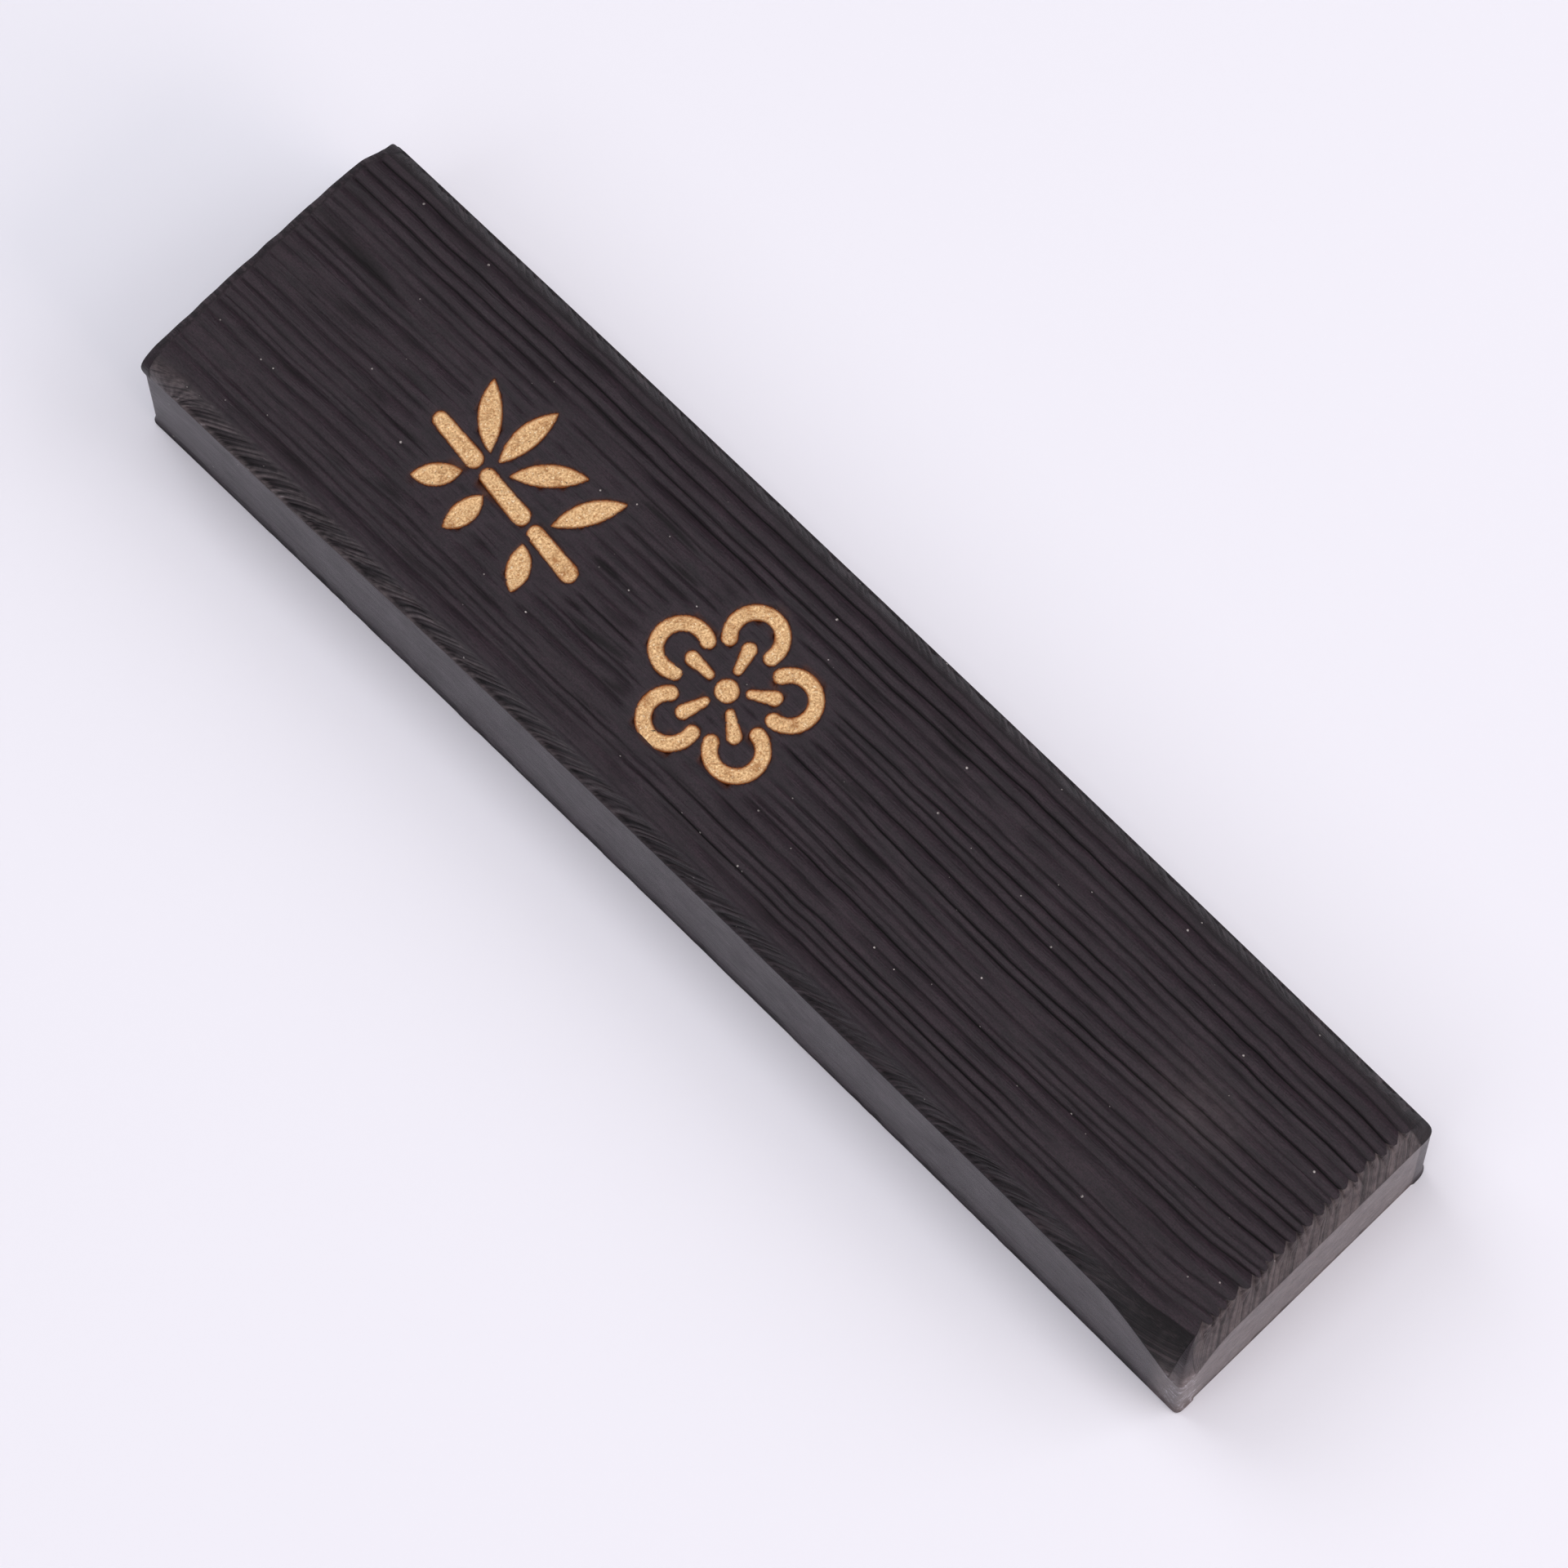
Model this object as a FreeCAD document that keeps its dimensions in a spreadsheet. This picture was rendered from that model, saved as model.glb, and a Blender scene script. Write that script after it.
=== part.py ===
import FreeCAD, Part
import Sketcher
import math
import os
from FreeCAD import Placement, Rotation, Vector

# Ink stick: a cake of soot and hide glue pressed in a wood-grained mould, and the
# gold paint that lies in the pockets of its top. The motifs are a bamboo sprig and
# a plum blossom.
# Frame: millimetres, +Z up from the flat base, +Y along the stick to its far end,
# origin at the middle of the base.

doc = FreeCAD.newDocument("ink_stick")

# ----------------------------------------------------------------- driving sizes
SIZES = [
    # the cake
    ("stick_length", 75.0, "end face to end face, above the lip"),
    ("stick_width", 18.1, "side face to side face, above the lip"),
    ("side_height", 7.1, "upright part of the sides, from the base"),
    ("bevel_width", 1.15, "plan width of the slope round the top"),
    ("bevel_rise", 1.7, "height of that slope"),
    ("corner_radius", 0.5, "upright corners"),
    ("rim_radius", 0.4, "corners of the flat top"),
    ("lip_proud", 0.12, "how far the mould flash stands out at the base"),
    ("lip_height", 0.6, "height of that flash"),
    # the wood grain of the top
    ("grain_pitch", 0.8, "groove to groove"),
    ("grain_width", 0.3, "mouth of a groove"),
    ("grain_depth", 0.2, "depth of a groove"),
    ("ground_margin", 0.7, "smooth ground round a motif"),
    ("ground_radius", 2.0, "corners of the sprig's smooth ground"),
    # the pockets and the paint in them
    ("pocket_depth", 0.45, "pocket floor below the top"),
    ("paint_thickness", 0.3, "gold paint on the pocket floor"),
    ("paint_gap", 0.03, "shrinkage gap between the paint and the pocket wall"),
    # bamboo sprig
    ("far_margin", 12.8, "from the far end face to the sprig"),
    ("sprig_x", 0.1, "middle of the sprig across the stick"),
    ("stalk_length", 3.7, "one length of the stalk, end to end"),
    ("stalk_gap", 0.25, "between two lengths of the stalk"),
    ("stalk_foot", 1.05, "width of a length at its lower end"),
    ("stalk_top", 0.9, "width of a length at its upper end"),
    ("stalk_shift", -1.1, "stalk's middle from the sprig's middle"),
    ("stalk_lean", 83.5, "direction of the stalk, degrees from +X"),
    ("leaf_long", 4.1, "long leaf, root to tip"),
    ("leaf_short", 2.7, "short leaf, root to tip"),
    ("leaf_back", 0.74, "bulge of a leaf's left edge, seen from its root"),
    ("leaf_belly", 0.52, "bulge of its right edge"),
    ("leaf_clear", 0.3, "between the stalk and a leaf's root"),
    # plum blossom
    ("motif_gap", 4.6, "between the sprig and the blossom"),
    ("flower_x", -0.3, "middle of the blossom across the stick"),
    ("petal_clear", 0.22, "between two petals"),
    ("petal_radius", 1.35, "middle line of a petal's stroke"),
    ("petal_stroke", 0.85, "width of that stroke"),
    ("petal_half_span", 118, "the stroke's run each way from its outer end, degrees"),
    ("eye_diameter", 1.3, "disc in the middle of the blossom"),
    ("stamen_clear", 0.32, "between the disc and the foot of a stamen"),
    ("stamen_length", 1.9, "one stamen, end to end"),
    ("stamen_foot", 0.5, "width of a stamen at its foot"),
    ("stamen_tip", 0.82, "width of a stamen at its tip"),
]

STALK_LENGTHS = 3
PETALS = 5

# Leaves: name, length, stalk joint, place past the joint, side of the stalk, direction
# in degrees from +X.
LEAVES = [
    ("leaf_upper_right", "leaf_long", 2, 0.35, 1, 43),
    ("leaf_middle_right", "leaf_long", 2, -0.35, 1, -3),
    ("leaf_lower_right", "leaf_long", 2, -1.25, 1, -47),
    ("leaf_bottom_right", "leaf_long", 1, -0.75, 1, -28),
    ("leaf_upper_left", "leaf_short", 2, 0.5, -1, 140),
    ("leaf_middle_left", "leaf_short", 2, -1.2, -1, 176),
    ("leaf_lower_left", "leaf_short", 1, -0.6, -1, 212),
]

sheet = doc.addObject("Spreadsheet::Sheet", "sizes")
for row, (alias, value, meaning) in enumerate(SIZES, start=1):
    sheet.set(f"A{row}", meaning)
    sheet.set(f"B{row}", str(value))
    sheet.setAlias(f"B{row}", alias)
doc.recompute()

TOP = "sizes.side_height + sizes.bevel_rise"
FLAT_WIDTH = "sizes.stick_width - 2 * sizes.bevel_width"
POCKET_FLOOR = f"{TOP} - sizes.pocket_depth"
CUTTER_HEIGHT = "sizes.pocket_depth + 1"
LEAN = "(sizes.stalk_lean * 1 deg)"
SPRIG_HEIGHT = f"({STALK_LENGTHS} * sizes.stalk_length + {STALK_LENGTHS - 1} * sizes.stalk_gap)"
SPRIG_Y = f"(sizes.stick_length / 2 - sizes.far_margin - {SPRIG_HEIGHT} / 2)"
PETAL_RADIUS = "(sizes.petal_radius + sizes.petal_stroke / 2)"
PETAL_REACH = f"({PETAL_RADIUS} + sizes.petal_clear / 2) / sin({180 / PETALS} deg)"
FLOWER_RADIUS = f"({PETAL_REACH} + {PETAL_RADIUS})"
FLOWER_Y = f"({SPRIG_Y} - {SPRIG_HEIGHT} / 2 - sizes.motif_gap - {FLOWER_RADIUS})"


def number(expression):
    """What an expression of the sheet's sizes comes to, in millimetres."""
    return float(sheet.evalExpression(expression))


# ------------------------------------------------------------- sketches and pads
def new_body(name):
    """An empty body whose label is its name."""
    body = doc.addObject("PartDesign::Body", name)
    body.Label = name
    return body


def origin_feature(body, role):
    """One of the planes or axes of the body's own origin."""
    return next(feature for feature in body.Origin.OriginFeatures if feature.Role == role)


def new_sketch(body, name, role="XY_Plane", lift=None):
    """A sketch on an origin plane of the body, or lifted from it by an expression."""
    sketch = body.newObject("Sketcher::SketchObject", name)
    sketch.AttachmentSupport = [(origin_feature(body, role), "")]
    sketch.MapMode = "FlatFace"
    if lift:
        sketch.setExpression("AttachmentOffset.Base.z", lift)
    return sketch


def dimension(sketch, name, kind, references, expression):
    """A named dimension of the sketch that follows an expression."""
    value = number(expression)
    index = sketch.addConstraint(Sketcher.Constraint(kind, *references, value))
    sketch.renameConstraint(index, name)
    sketch.setExpression("Constraints." + name, expression)


def join(sketch, kind, *pairs):
    """Joins pairs of geometry ends, each pair being (geometry, end, geometry, end)."""
    for pair in pairs:
        sketch.addConstraint(Sketcher.Constraint(kind, *pair))


def arc(centre, radius, start, end):
    """An arc of a circle, drawn anticlockwise between two angles in radians."""
    return Part.ArcOfCircle(Part.Circle(centre, Vector(0, 0, 1), radius), start, end)


def rounded_rectangle(sketch, width, length, radius, across="0", along="0"):
    """A rectangle with round corners, of a given width and length, round the point (across, along)."""
    centre = Vector(number(across), number(along), 0)
    half_x, half_y, r = number(width) / 2, number(length) / 2, number(radius)
    signs = [(1, -1), (1, 1), (-1, 1), (-1, -1)]
    for k, (i, j) in enumerate(signs):
        middle = centre + Vector(i * (half_x - r), j * (half_y - r), 0)
        start = (k - 1) * math.pi / 2
        sketch.addGeometry(arc(middle, r, start, start + math.pi / 2), False)
        i, j = signs[(k + 1) % 4]
        following = centre + Vector(i * (half_x - r), j * (half_y - r), 0)
        out = Vector(math.cos(start + math.pi / 2), math.sin(start + math.pi / 2), 0) * r
        sketch.addGeometry(Part.LineSegment(middle + out, following + out), False)
    for k in range(4):
        join(sketch, "Tangent", (2 * k, 2, 2 * k + 1, 1), (2 * k + 1, 2, (2 * k + 2) % 8, 1))
    join(sketch, "Equal", (0, 2), (0, 4), (0, 6))
    join(sketch, "Vertical", (1,), (5,))
    join(sketch, "Horizontal", (3,))
    dimension(sketch, "corner", "Radius", (0,), radius)
    dimension(sketch, "right", "DistanceX", (-1, 1, 1, 1), f"{across} + ({width}) / 2")
    dimension(sketch, "left", "DistanceX", (5, 1, -1, 1), f"({width}) / 2 - {across}")
    dimension(sketch, "far", "DistanceY", (-1, 1, 3, 1), f"{along} + ({length}) / 2")
    dimension(sketch, "near", "DistanceY", (7, 1, -1, 1), f"({length}) / 2 - {along}")


def pad(body, sketch, name, height):
    """The sketch raised by an expression."""
    feature = body.newObject("PartDesign::Pad", name)
    feature.Profile = sketch
    feature.setExpression("Length", height)
    return feature


# ------------------------------------------------------------------ the ink cake
def cake_blank():
    """The pressed cake before its motifs: block, lip, bevels, grain and smooth grounds."""
    body = new_body("cake_blank")

    sketch = new_sketch(body, "lip_outline")
    lip_width = "sizes.stick_width + 2 * sizes.lip_proud"
    lip_length = "sizes.stick_length + 2 * sizes.lip_proud"
    rounded_rectangle(sketch, lip_width, lip_length, "sizes.corner_radius")
    pad(body, sketch, "lip", "sizes.lip_height")

    sketch = new_sketch(body, "block_outline")
    rounded_rectangle(sketch, "sizes.stick_width", "sizes.stick_length", "sizes.corner_radius")
    pad(body, sketch, "block", "sizes.side_height")

    shoulder = new_sketch(body, "shoulder_outline", lift="sizes.side_height")
    rounded_rectangle(shoulder, "sizes.stick_width", "sizes.stick_length", "sizes.corner_radius")
    rim = new_sketch(body, "rim_outline", lift=TOP)
    rounded_rectangle(rim, FLAT_WIDTH, "sizes.stick_length - 2 * sizes.bevel_width", "sizes.rim_radius")
    bevels = body.newObject("PartDesign::AdditiveLoft", "bevels")
    bevels.Profile = shoulder
    bevels.Sections = [rim]
    bevels.Ruled = True
    doc.recompute()

    grooves = f"floor(({FLAT_WIDTH} - sizes.grain_width) / sizes.grain_pitch)"
    first = f"-({grooves}) * sizes.grain_pitch / 2"
    sketch = new_sketch(body, "groove_section", "XZ_Plane")
    groove_section(sketch, first)
    groove = body.newObject("PartDesign::Pocket", "groove")
    groove.Profile = sketch
    groove.Type = "ThroughAll"
    groove.Midplane = True
    doc.recompute()
    grain = body.newObject("PartDesign::LinearPattern", "grain")
    grain.Originals = [groove]
    grain.Direction = (origin_feature(body, "X_Axis"), [""])
    grain.setExpression("Length", f"({grooves}) * sizes.grain_pitch")
    grain.setExpression("Occurrences", f"{grooves} + 1")
    body.Tip = grain
    doc.recompute()

    sketch = new_sketch(body, "sprig_ground_outline", lift=POCKET_FLOOR)
    width = "2 * (sizes.stalk_foot / 2 + sizes.leaf_clear + sizes.leaf_long)"
    length = f"{SPRIG_HEIGHT} + 2 * sizes.ground_margin"
    rounded_rectangle(sketch, width, length, "sizes.ground_radius", "sizes.sprig_x", SPRIG_Y)
    pad(body, sketch, "sprig_ground", "sizes.pocket_depth")

    sketch = new_sketch(body, "flower_ground_outline", lift=POCKET_FLOOR)
    disc_outline(sketch, "0", f"{FLOWER_RADIUS} + sizes.ground_margin", "sizes.flower_x", FLOWER_Y)
    pad(body, sketch, "flower_ground", "sizes.pocket_depth")
    return body


def groove_section(sketch, across):
    """A V that opens at the top, drawn on the XZ plane with its middle at an expression."""
    x, top = number(across), number(TOP)
    half, depth = number("sizes.grain_width") / 2, number("sizes.grain_depth")
    points = [Vector(x - half, top, 0), Vector(x, top - depth, 0), Vector(x + half, top, 0)]
    for k in range(3):
        sketch.addGeometry(Part.LineSegment(points[k], points[(k + 1) % 3]), False)
    join(sketch, "Coincident", (0, 2, 1, 1), (1, 2, 2, 1), (2, 2, 0, 1))
    join(sketch, "Horizontal", (2,))
    dimension(sketch, "mouth", "DistanceX", (0, 1, 1, 2), "sizes.grain_width")
    dimension(sketch, "middle", "DistanceX", (1, 1, -1, 1), f"-({across})")
    dimension(sketch, "symmetry", "DistanceX", (0, 1, 0, 2), "sizes.grain_width / 2")
    dimension(sketch, "top", "DistanceY", (-1, 1, 0, 1), TOP)
    dimension(sketch, "depth", "DistanceY", (0, 2, 0, 1), "sizes.grain_depth")


# ------------------------------------------------------------ outlines of a motif
# An outline starts at the sketch's origin and runs along +X. Its inset is 0 for the
# cutter of a pocket and the shrinkage gap for the paint that lies in the pocket.
def disc_outline(sketch, inset, radius, across="0", along="0"):
    """A full circle round the point (across, along)."""
    centre = Vector(number(across), number(along), 0)
    sketch.addGeometry(Part.Circle(centre, Vector(0, 0, 1), number(f"{radius} - {inset}")), False)
    dimension(sketch, "radius", "Radius", (0,), f"{radius} - {inset}")
    dimension(sketch, "across", "DistanceX", (0, 3, -1, 1), f"-({across})")
    dimension(sketch, "along", "DistanceY", (0, 3, -1, 1), f"-({along})")


def taper_outline(sketch, inset, foot, tip, length):
    """A brush stroke of a given length between a foot circle and a tip circle."""
    foot_radius, tip_radius = f"{foot} / 2 - {inset}", f"{tip} / 2 - {inset}"
    run = f"{length} - ({foot} + {tip}) / 2"
    r_foot, r_tip, end = number(foot_radius), number(tip_radius), Vector(number(run), 0, 0)
    turn = math.acos((r_foot - r_tip) / end.x)
    up = Vector(math.cos(turn), math.sin(turn), 0)
    down = Vector(up.x, -up.y, 0)
    sketch.addGeometry(arc(Vector(), r_foot, turn, 2 * math.pi - turn), False)
    sketch.addGeometry(Part.LineSegment(down * r_foot, end + down * r_tip), False)
    sketch.addGeometry(arc(end, r_tip, -turn, turn), False)
    sketch.addGeometry(Part.LineSegment(end + up * r_tip, up * r_foot), False)
    join(sketch, "Tangent", (0, 2, 1, 1), (1, 2, 2, 1), (2, 2, 3, 1), (3, 2, 0, 1))
    join(sketch, "Coincident", (0, 3, -1, 1))
    join(sketch, "PointOnObject", (2, 3, -1))
    dimension(sketch, "foot", "Radius", (0,), foot_radius)
    dimension(sketch, "tip", "Radius", (2,), tip_radius)
    dimension(sketch, "run", "DistanceX", (0, 3, 2, 3), run)


def leaf_outline(sketch, inset, length):
    """Two arcs between root and tip; the left one bulges by leaf_back, the right by leaf_belly."""
    half = f"{length} / 2"
    back, belly = "sizes.leaf_back", "sizes.leaf_belly"
    back_radius = f"(({half}) ^ 2 + {back} ^ 2) / (2 * {back})"
    belly_radius = f"(({half}) ^ 2 + {belly} ^ 2) / (2 * {belly})"
    gap, middle = number(inset), number(half)
    r_back, r_belly = number(back_radius), number(belly_radius)
    low, high = Vector(middle, number(back) - r_back, 0), Vector(middle, r_belly - number(belly), 0)
    rise, reach = circle_crossing(low.y, r_back - gap, high.y, r_belly - gap)
    opening = math.atan2(reach, rise - low.y)
    closing = math.atan2(reach, high.y - rise)
    sketch.addGeometry(arc(low, r_back - gap, math.pi / 2 - opening, math.pi / 2 + opening), False)
    sketch.addGeometry(arc(high, r_belly - gap, 3 * math.pi / 2 - closing, 3 * math.pi / 2 + closing), False)
    join(sketch, "Coincident", (0, 2, 1, 1), (1, 2, 0, 1))
    dimension(sketch, "back", "Radius", (0,), f"{back_radius} - {inset}")
    dimension(sketch, "belly", "Radius", (1,), f"{belly_radius} - {inset}")
    dimension(sketch, "back_middle", "DistanceX", (-1, 1, 0, 3), half)
    dimension(sketch, "belly_middle", "DistanceX", (-1, 1, 1, 3), half)
    dimension(sketch, "back_centre", "DistanceY", (0, 3, -1, 1), f"{back_radius} - {back}")
    dimension(sketch, "belly_centre", "DistanceY", (-1, 1, 1, 3), f"{belly_radius} - {belly}")


def circle_crossing(low, r_low, high, r_high):
    """Height and half width at which two circles centred on one upright line cross."""
    rise = (low + high) / 2 + (r_low ** 2 - r_high ** 2) / (2 * (high - low))
    return rise, math.sqrt(r_low ** 2 - (rise - low) ** 2)


def petal_outline(sketch, inset):
    """A C-shaped stroke round the sketch's origin, open towards -X, with round ends."""
    outer = f"{PETAL_RADIUS} - {inset}"
    inner = f"sizes.petal_radius - sizes.petal_stroke / 2 + {inset}"
    end_radius = f"sizes.petal_stroke / 2 - {inset}"
    span = math.radians(number("sizes.petal_half_span"))
    radius, cap = number("sizes.petal_radius"), number(end_radius)
    ends = [Vector(math.cos(turn), math.sin(turn), 0) * radius for turn in (-span, span)]
    sketch.addGeometry(arc(Vector(), number(outer), -span, span), False)
    sketch.addGeometry(arc(ends[1], cap, span, span + math.pi), False)
    sketch.addGeometry(arc(Vector(), number(inner), -span, span), False)
    sketch.addGeometry(arc(ends[0], cap, math.pi - span, 2 * math.pi - span), False)
    join(sketch, "Coincident", (0, 3, -1, 1), (2, 3, -1, 1))
    join(sketch, "Tangent", (0, 2, 1, 1), (1, 2, 2, 2), (2, 1, 3, 1), (3, 2, 0, 1))
    dimension(sketch, "outer", "Radius", (0,), outer)
    dimension(sketch, "inner", "Radius", (2,), inner)
    setback = "-sizes.petal_radius * cos(sizes.petal_half_span * 1 deg)"
    dimension(sketch, "left_end", "DistanceX", (1, 3, -1, 1), setback)
    dimension(sketch, "right_end", "DistanceX", (3, 3, -1, 1), setback)


# --------------------------------------------------------------- marks and paint
cutters = []
paint = []


def mark(name, place, angle, outline, *measures):
    """One stroke of a motif: the cutter of its pocket, and the paint on the pocket's floor.

    place holds expressions for the x and y of the outline's origin, and angle is the
    direction of its +X as an expression in degrees. measures are the outline's own.
    """
    for label, inset, height, made in (
        (name + "_cutter", "0", CUTTER_HEIGHT, cutters),
        (name, "sizes.paint_gap", "sizes.paint_thickness", paint),
    ):
        body = new_body(label)
        sketch = new_sketch(body, label + "_outline")
        outline(sketch, inset, *measures)
        pad(body, sketch, label + "_pad", height)
        body.Placement = Placement(Vector(), Rotation(Vector(0, 0, 1), number(angle)))
        body.setExpression("Placement.Base.x", place[0])
        body.setExpression("Placement.Base.y", place[1])
        body.setExpression("Placement.Base.z", POCKET_FLOOR)
        made.append(body)


def on_stalk(along, across):
    """Expressions for a point along the stalk from its foot, and across it to the right."""
    rise = f"({along} - {SPRIG_HEIGHT} / 2)"
    x = f"{rise} * cos({LEAN}) + ({across}) * sin({LEAN})"
    y = f"{rise} * sin({LEAN}) - ({across}) * cos({LEAN})"
    return f"sizes.sprig_x + sizes.stalk_shift + {x}", f"{SPRIG_Y} + {y}"


def bamboo_sprig():
    """Lengths of stalk in a row, and the leaves that grow from its joints."""
    step = "(sizes.stalk_length + sizes.stalk_gap)"
    stalk = ("sizes.stalk_foot", "sizes.stalk_top", "sizes.stalk_length")
    for k in range(STALK_LENGTHS):
        foot = on_stalk(f"{k} * {step} + sizes.stalk_foot / 2", "0")
        mark(f"stalk_{k + 1}", foot, "sizes.stalk_lean", taper_outline, *stalk)
    for name, length, joint, past, side, angle in LEAVES:
        along = f"{joint} * {step} - sizes.stalk_gap / 2 + {past}"
        root = on_stalk(along, f"{side} * (sizes.stalk_foot / 2 + sizes.leaf_clear)")
        mark(name, root, str(angle), leaf_outline, "sizes." + length)


def plum_blossom():
    """Petals and stamens in turn round a disc."""
    mark("flower_eye", ("sizes.flower_x", FLOWER_Y), "0", disc_outline, "sizes.eye_diameter / 2")
    stamen_foot = "sizes.eye_diameter / 2 + sizes.stamen_clear + sizes.stamen_foot / 2"
    stamen = ("sizes.stamen_foot", "sizes.stamen_tip", "sizes.stamen_length")
    for k in range(PETALS):
        angle = str(90 + k * 360 / PETALS)
        mark(f"petal_{k + 1}", from_flower(PETAL_REACH, angle), angle, petal_outline)
        mark(f"stamen_{k + 1}", from_flower(stamen_foot, angle), angle, taper_outline, *stamen)


def from_flower(reach, angle):
    """Expressions for the point a given reach from the blossom's middle, at an angle in degrees."""
    return (f"sizes.flower_x + ({reach}) * cos({angle} deg)",
            f"{FLOWER_Y} + ({reach}) * sin({angle} deg)")


# ---------------------------------------------------------------------- assembly
blank = cake_blank()
bamboo_sprig()
plum_blossom()

pockets = doc.addObject("Part::MultiFuse", "pockets")
pockets.Shapes = cutters
cake = doc.addObject("Part::Cut", "ink_cake")
cake.Label = "ink_cake"
cake.Base = blank
cake.Tool = pockets
doc.recompute()

failed = [item.Label for item in doc.Objects if {"Invalid", "Error"} & set(item.State)]
if failed:
    raise RuntimeError("these objects failed: " + ", ".join(failed))

nodes = [cake] + paint
for node in nodes:
    if node.Shape.isNull() or not node.Shape.isValid() or len(node.Shape.Solids) != 1:
        raise RuntimeError(node.Label + " isn't one valid solid")

os.makedirs("parts", exist_ok=True)
for node in nodes:
    node.Shape.exportStep(f"parts/{node.Label}.step")
    print(f"{node.Label}: {node.Shape.Volume:.3f} mm3")
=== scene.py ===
import itertools
import math

import bpy
import numpy as np
from mathutils import Matrix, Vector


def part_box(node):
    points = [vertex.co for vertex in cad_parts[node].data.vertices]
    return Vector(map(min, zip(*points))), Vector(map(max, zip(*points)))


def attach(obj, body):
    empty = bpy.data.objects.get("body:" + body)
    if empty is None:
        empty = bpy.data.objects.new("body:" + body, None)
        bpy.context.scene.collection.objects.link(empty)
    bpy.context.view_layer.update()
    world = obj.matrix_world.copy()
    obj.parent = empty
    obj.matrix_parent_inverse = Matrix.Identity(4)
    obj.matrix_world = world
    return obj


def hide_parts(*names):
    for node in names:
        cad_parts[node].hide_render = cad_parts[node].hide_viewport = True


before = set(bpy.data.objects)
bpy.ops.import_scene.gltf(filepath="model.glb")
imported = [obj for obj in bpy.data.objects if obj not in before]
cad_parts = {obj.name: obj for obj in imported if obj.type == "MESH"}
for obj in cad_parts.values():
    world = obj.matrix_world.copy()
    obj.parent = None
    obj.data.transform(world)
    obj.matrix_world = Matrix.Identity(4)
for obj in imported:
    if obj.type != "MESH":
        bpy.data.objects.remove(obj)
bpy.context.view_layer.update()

# -------------------------------------------------------------------- the ink cake
# One block of lamp soot kneaded with hide glue, pressed in a carved wooden mould and
# dried for months. The mould gave it the wood-grained top, the hatched bevels and the
# lip of flash round the base, and sank the pockets that hold the gold.

MM = 0.001
cake_low, cake_high = (np.array(corner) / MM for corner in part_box("ink_cake"))
TOP = cake_high[2]
LIP_PROUD = 0.12        # how far the lip stands out of the side, mm
LIP_HEIGHT = 0.6
BEVEL_WIDTH = 1.15
BEVEL_RISE = 1.7
BEVEL_SLOPE = math.hypot(BEVEL_WIDTH, BEVEL_RISE)
RIM_X = cake_high[0] - LIP_PROUD - BEVEL_WIDTH
RIM_Y = cake_high[1] - LIP_PROUD - BEVEL_WIDTH
MARKS = [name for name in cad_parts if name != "ink_cake"]
PAINT_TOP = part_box(MARKS[0])[1][2] / MM
POCKET_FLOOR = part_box(MARKS[0])[0][2] / MM


def soft_noise(seed, *coordinates):
    """Smooth random numbers from -1 to 1: a seeded lattice with one knot per unit of each
    coordinate, joined by the curve 3t^2 - 2t^3."""
    knots = 61
    lattice = np.random.default_rng(seed).uniform(-1, 1, (knots,) * len(coordinates))
    cells = [np.floor(c).astype(int) for c in coordinates]
    blends = [(c - cell) ** 2 * (3 - 2 * (c - cell)) for c, cell in zip(coordinates, cells)]
    total = 0.0
    for corner in itertools.product((0, 1), repeat=len(cells)):
        weight = 1.0
        for step, blend in zip(corner, blends):
            weight = weight * (blend if step else 1 - blend)
        total = total + weight * lattice[tuple((cell + step) % knots for cell, step in zip(cells, corner))]
    return total


def smooth_step(value, start, end):
    """0 before start, 1 past end, and 3t^2 - 2t^3 between them."""
    t = np.clip((value - start) / (end - start), 0, 1)
    return t * t * (3 - 2 * t)


def outline_segments(node):
    """The plan outline of a paint deposit, as an array of segments in millimetres: the edges in
    which its upright walls meet its top."""
    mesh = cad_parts[node].data
    points = np.empty(len(mesh.vertices) * 3)
    mesh.vertices.foreach_get("co", points)
    points = points.reshape(-1, 3) / MM
    mesh.calc_loop_triangles()
    corners = np.empty(len(mesh.loop_triangles) * 3, int)
    mesh.loop_triangles.foreach_get("vertices", corners)
    triangles = points[corners.reshape(-1, 3)]
    on_top = np.isclose(triangles[:, :, 2], triangles[:, :, 2].max(), atol=1e-3)
    walls, on_top = triangles[on_top.sum(axis=1) == 2], on_top[on_top.sum(axis=1) == 2]
    return walls[on_top].reshape(-1, 2, 3)[:, :, :2]


def distance_to_outline(x, y, segments):
    """Signed distance in millimetres from points to an outline: the least distance to any of its
    segments, negative where a ray towards +X crosses the outline an odd number of times."""
    nearest = np.full(x.shape, 1e6)
    inside = np.zeros(x.shape, bool)
    for (ax, ay), (bx, by) in segments:
        run_x, run_y = bx - ax, by - ay
        square = run_x ** 2 + run_y ** 2
        if square < 1e-12:
            continue
        t = np.clip(((x - ax) * run_x + (y - ay) * run_y) / square, 0, 1)
        nearest = np.minimum(nearest, np.hypot(x - ax - t * run_x, y - ay - t * run_y))
        if run_y:
            spans = (ay > y) != (by > y)
            inside ^= spans & (x < ax + (y - ay) * run_x / run_y)
    return np.where(inside, -nearest, nearest)


OUTLINES = {name: outline_segments(name) for name in MARKS}
REACH = 2.2             # beyond this distance from a mark its exact distance doesn't matter, mm
POCKET_SPARE = 0.05     # how far the pocket's floor lies below the paint, mm


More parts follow.
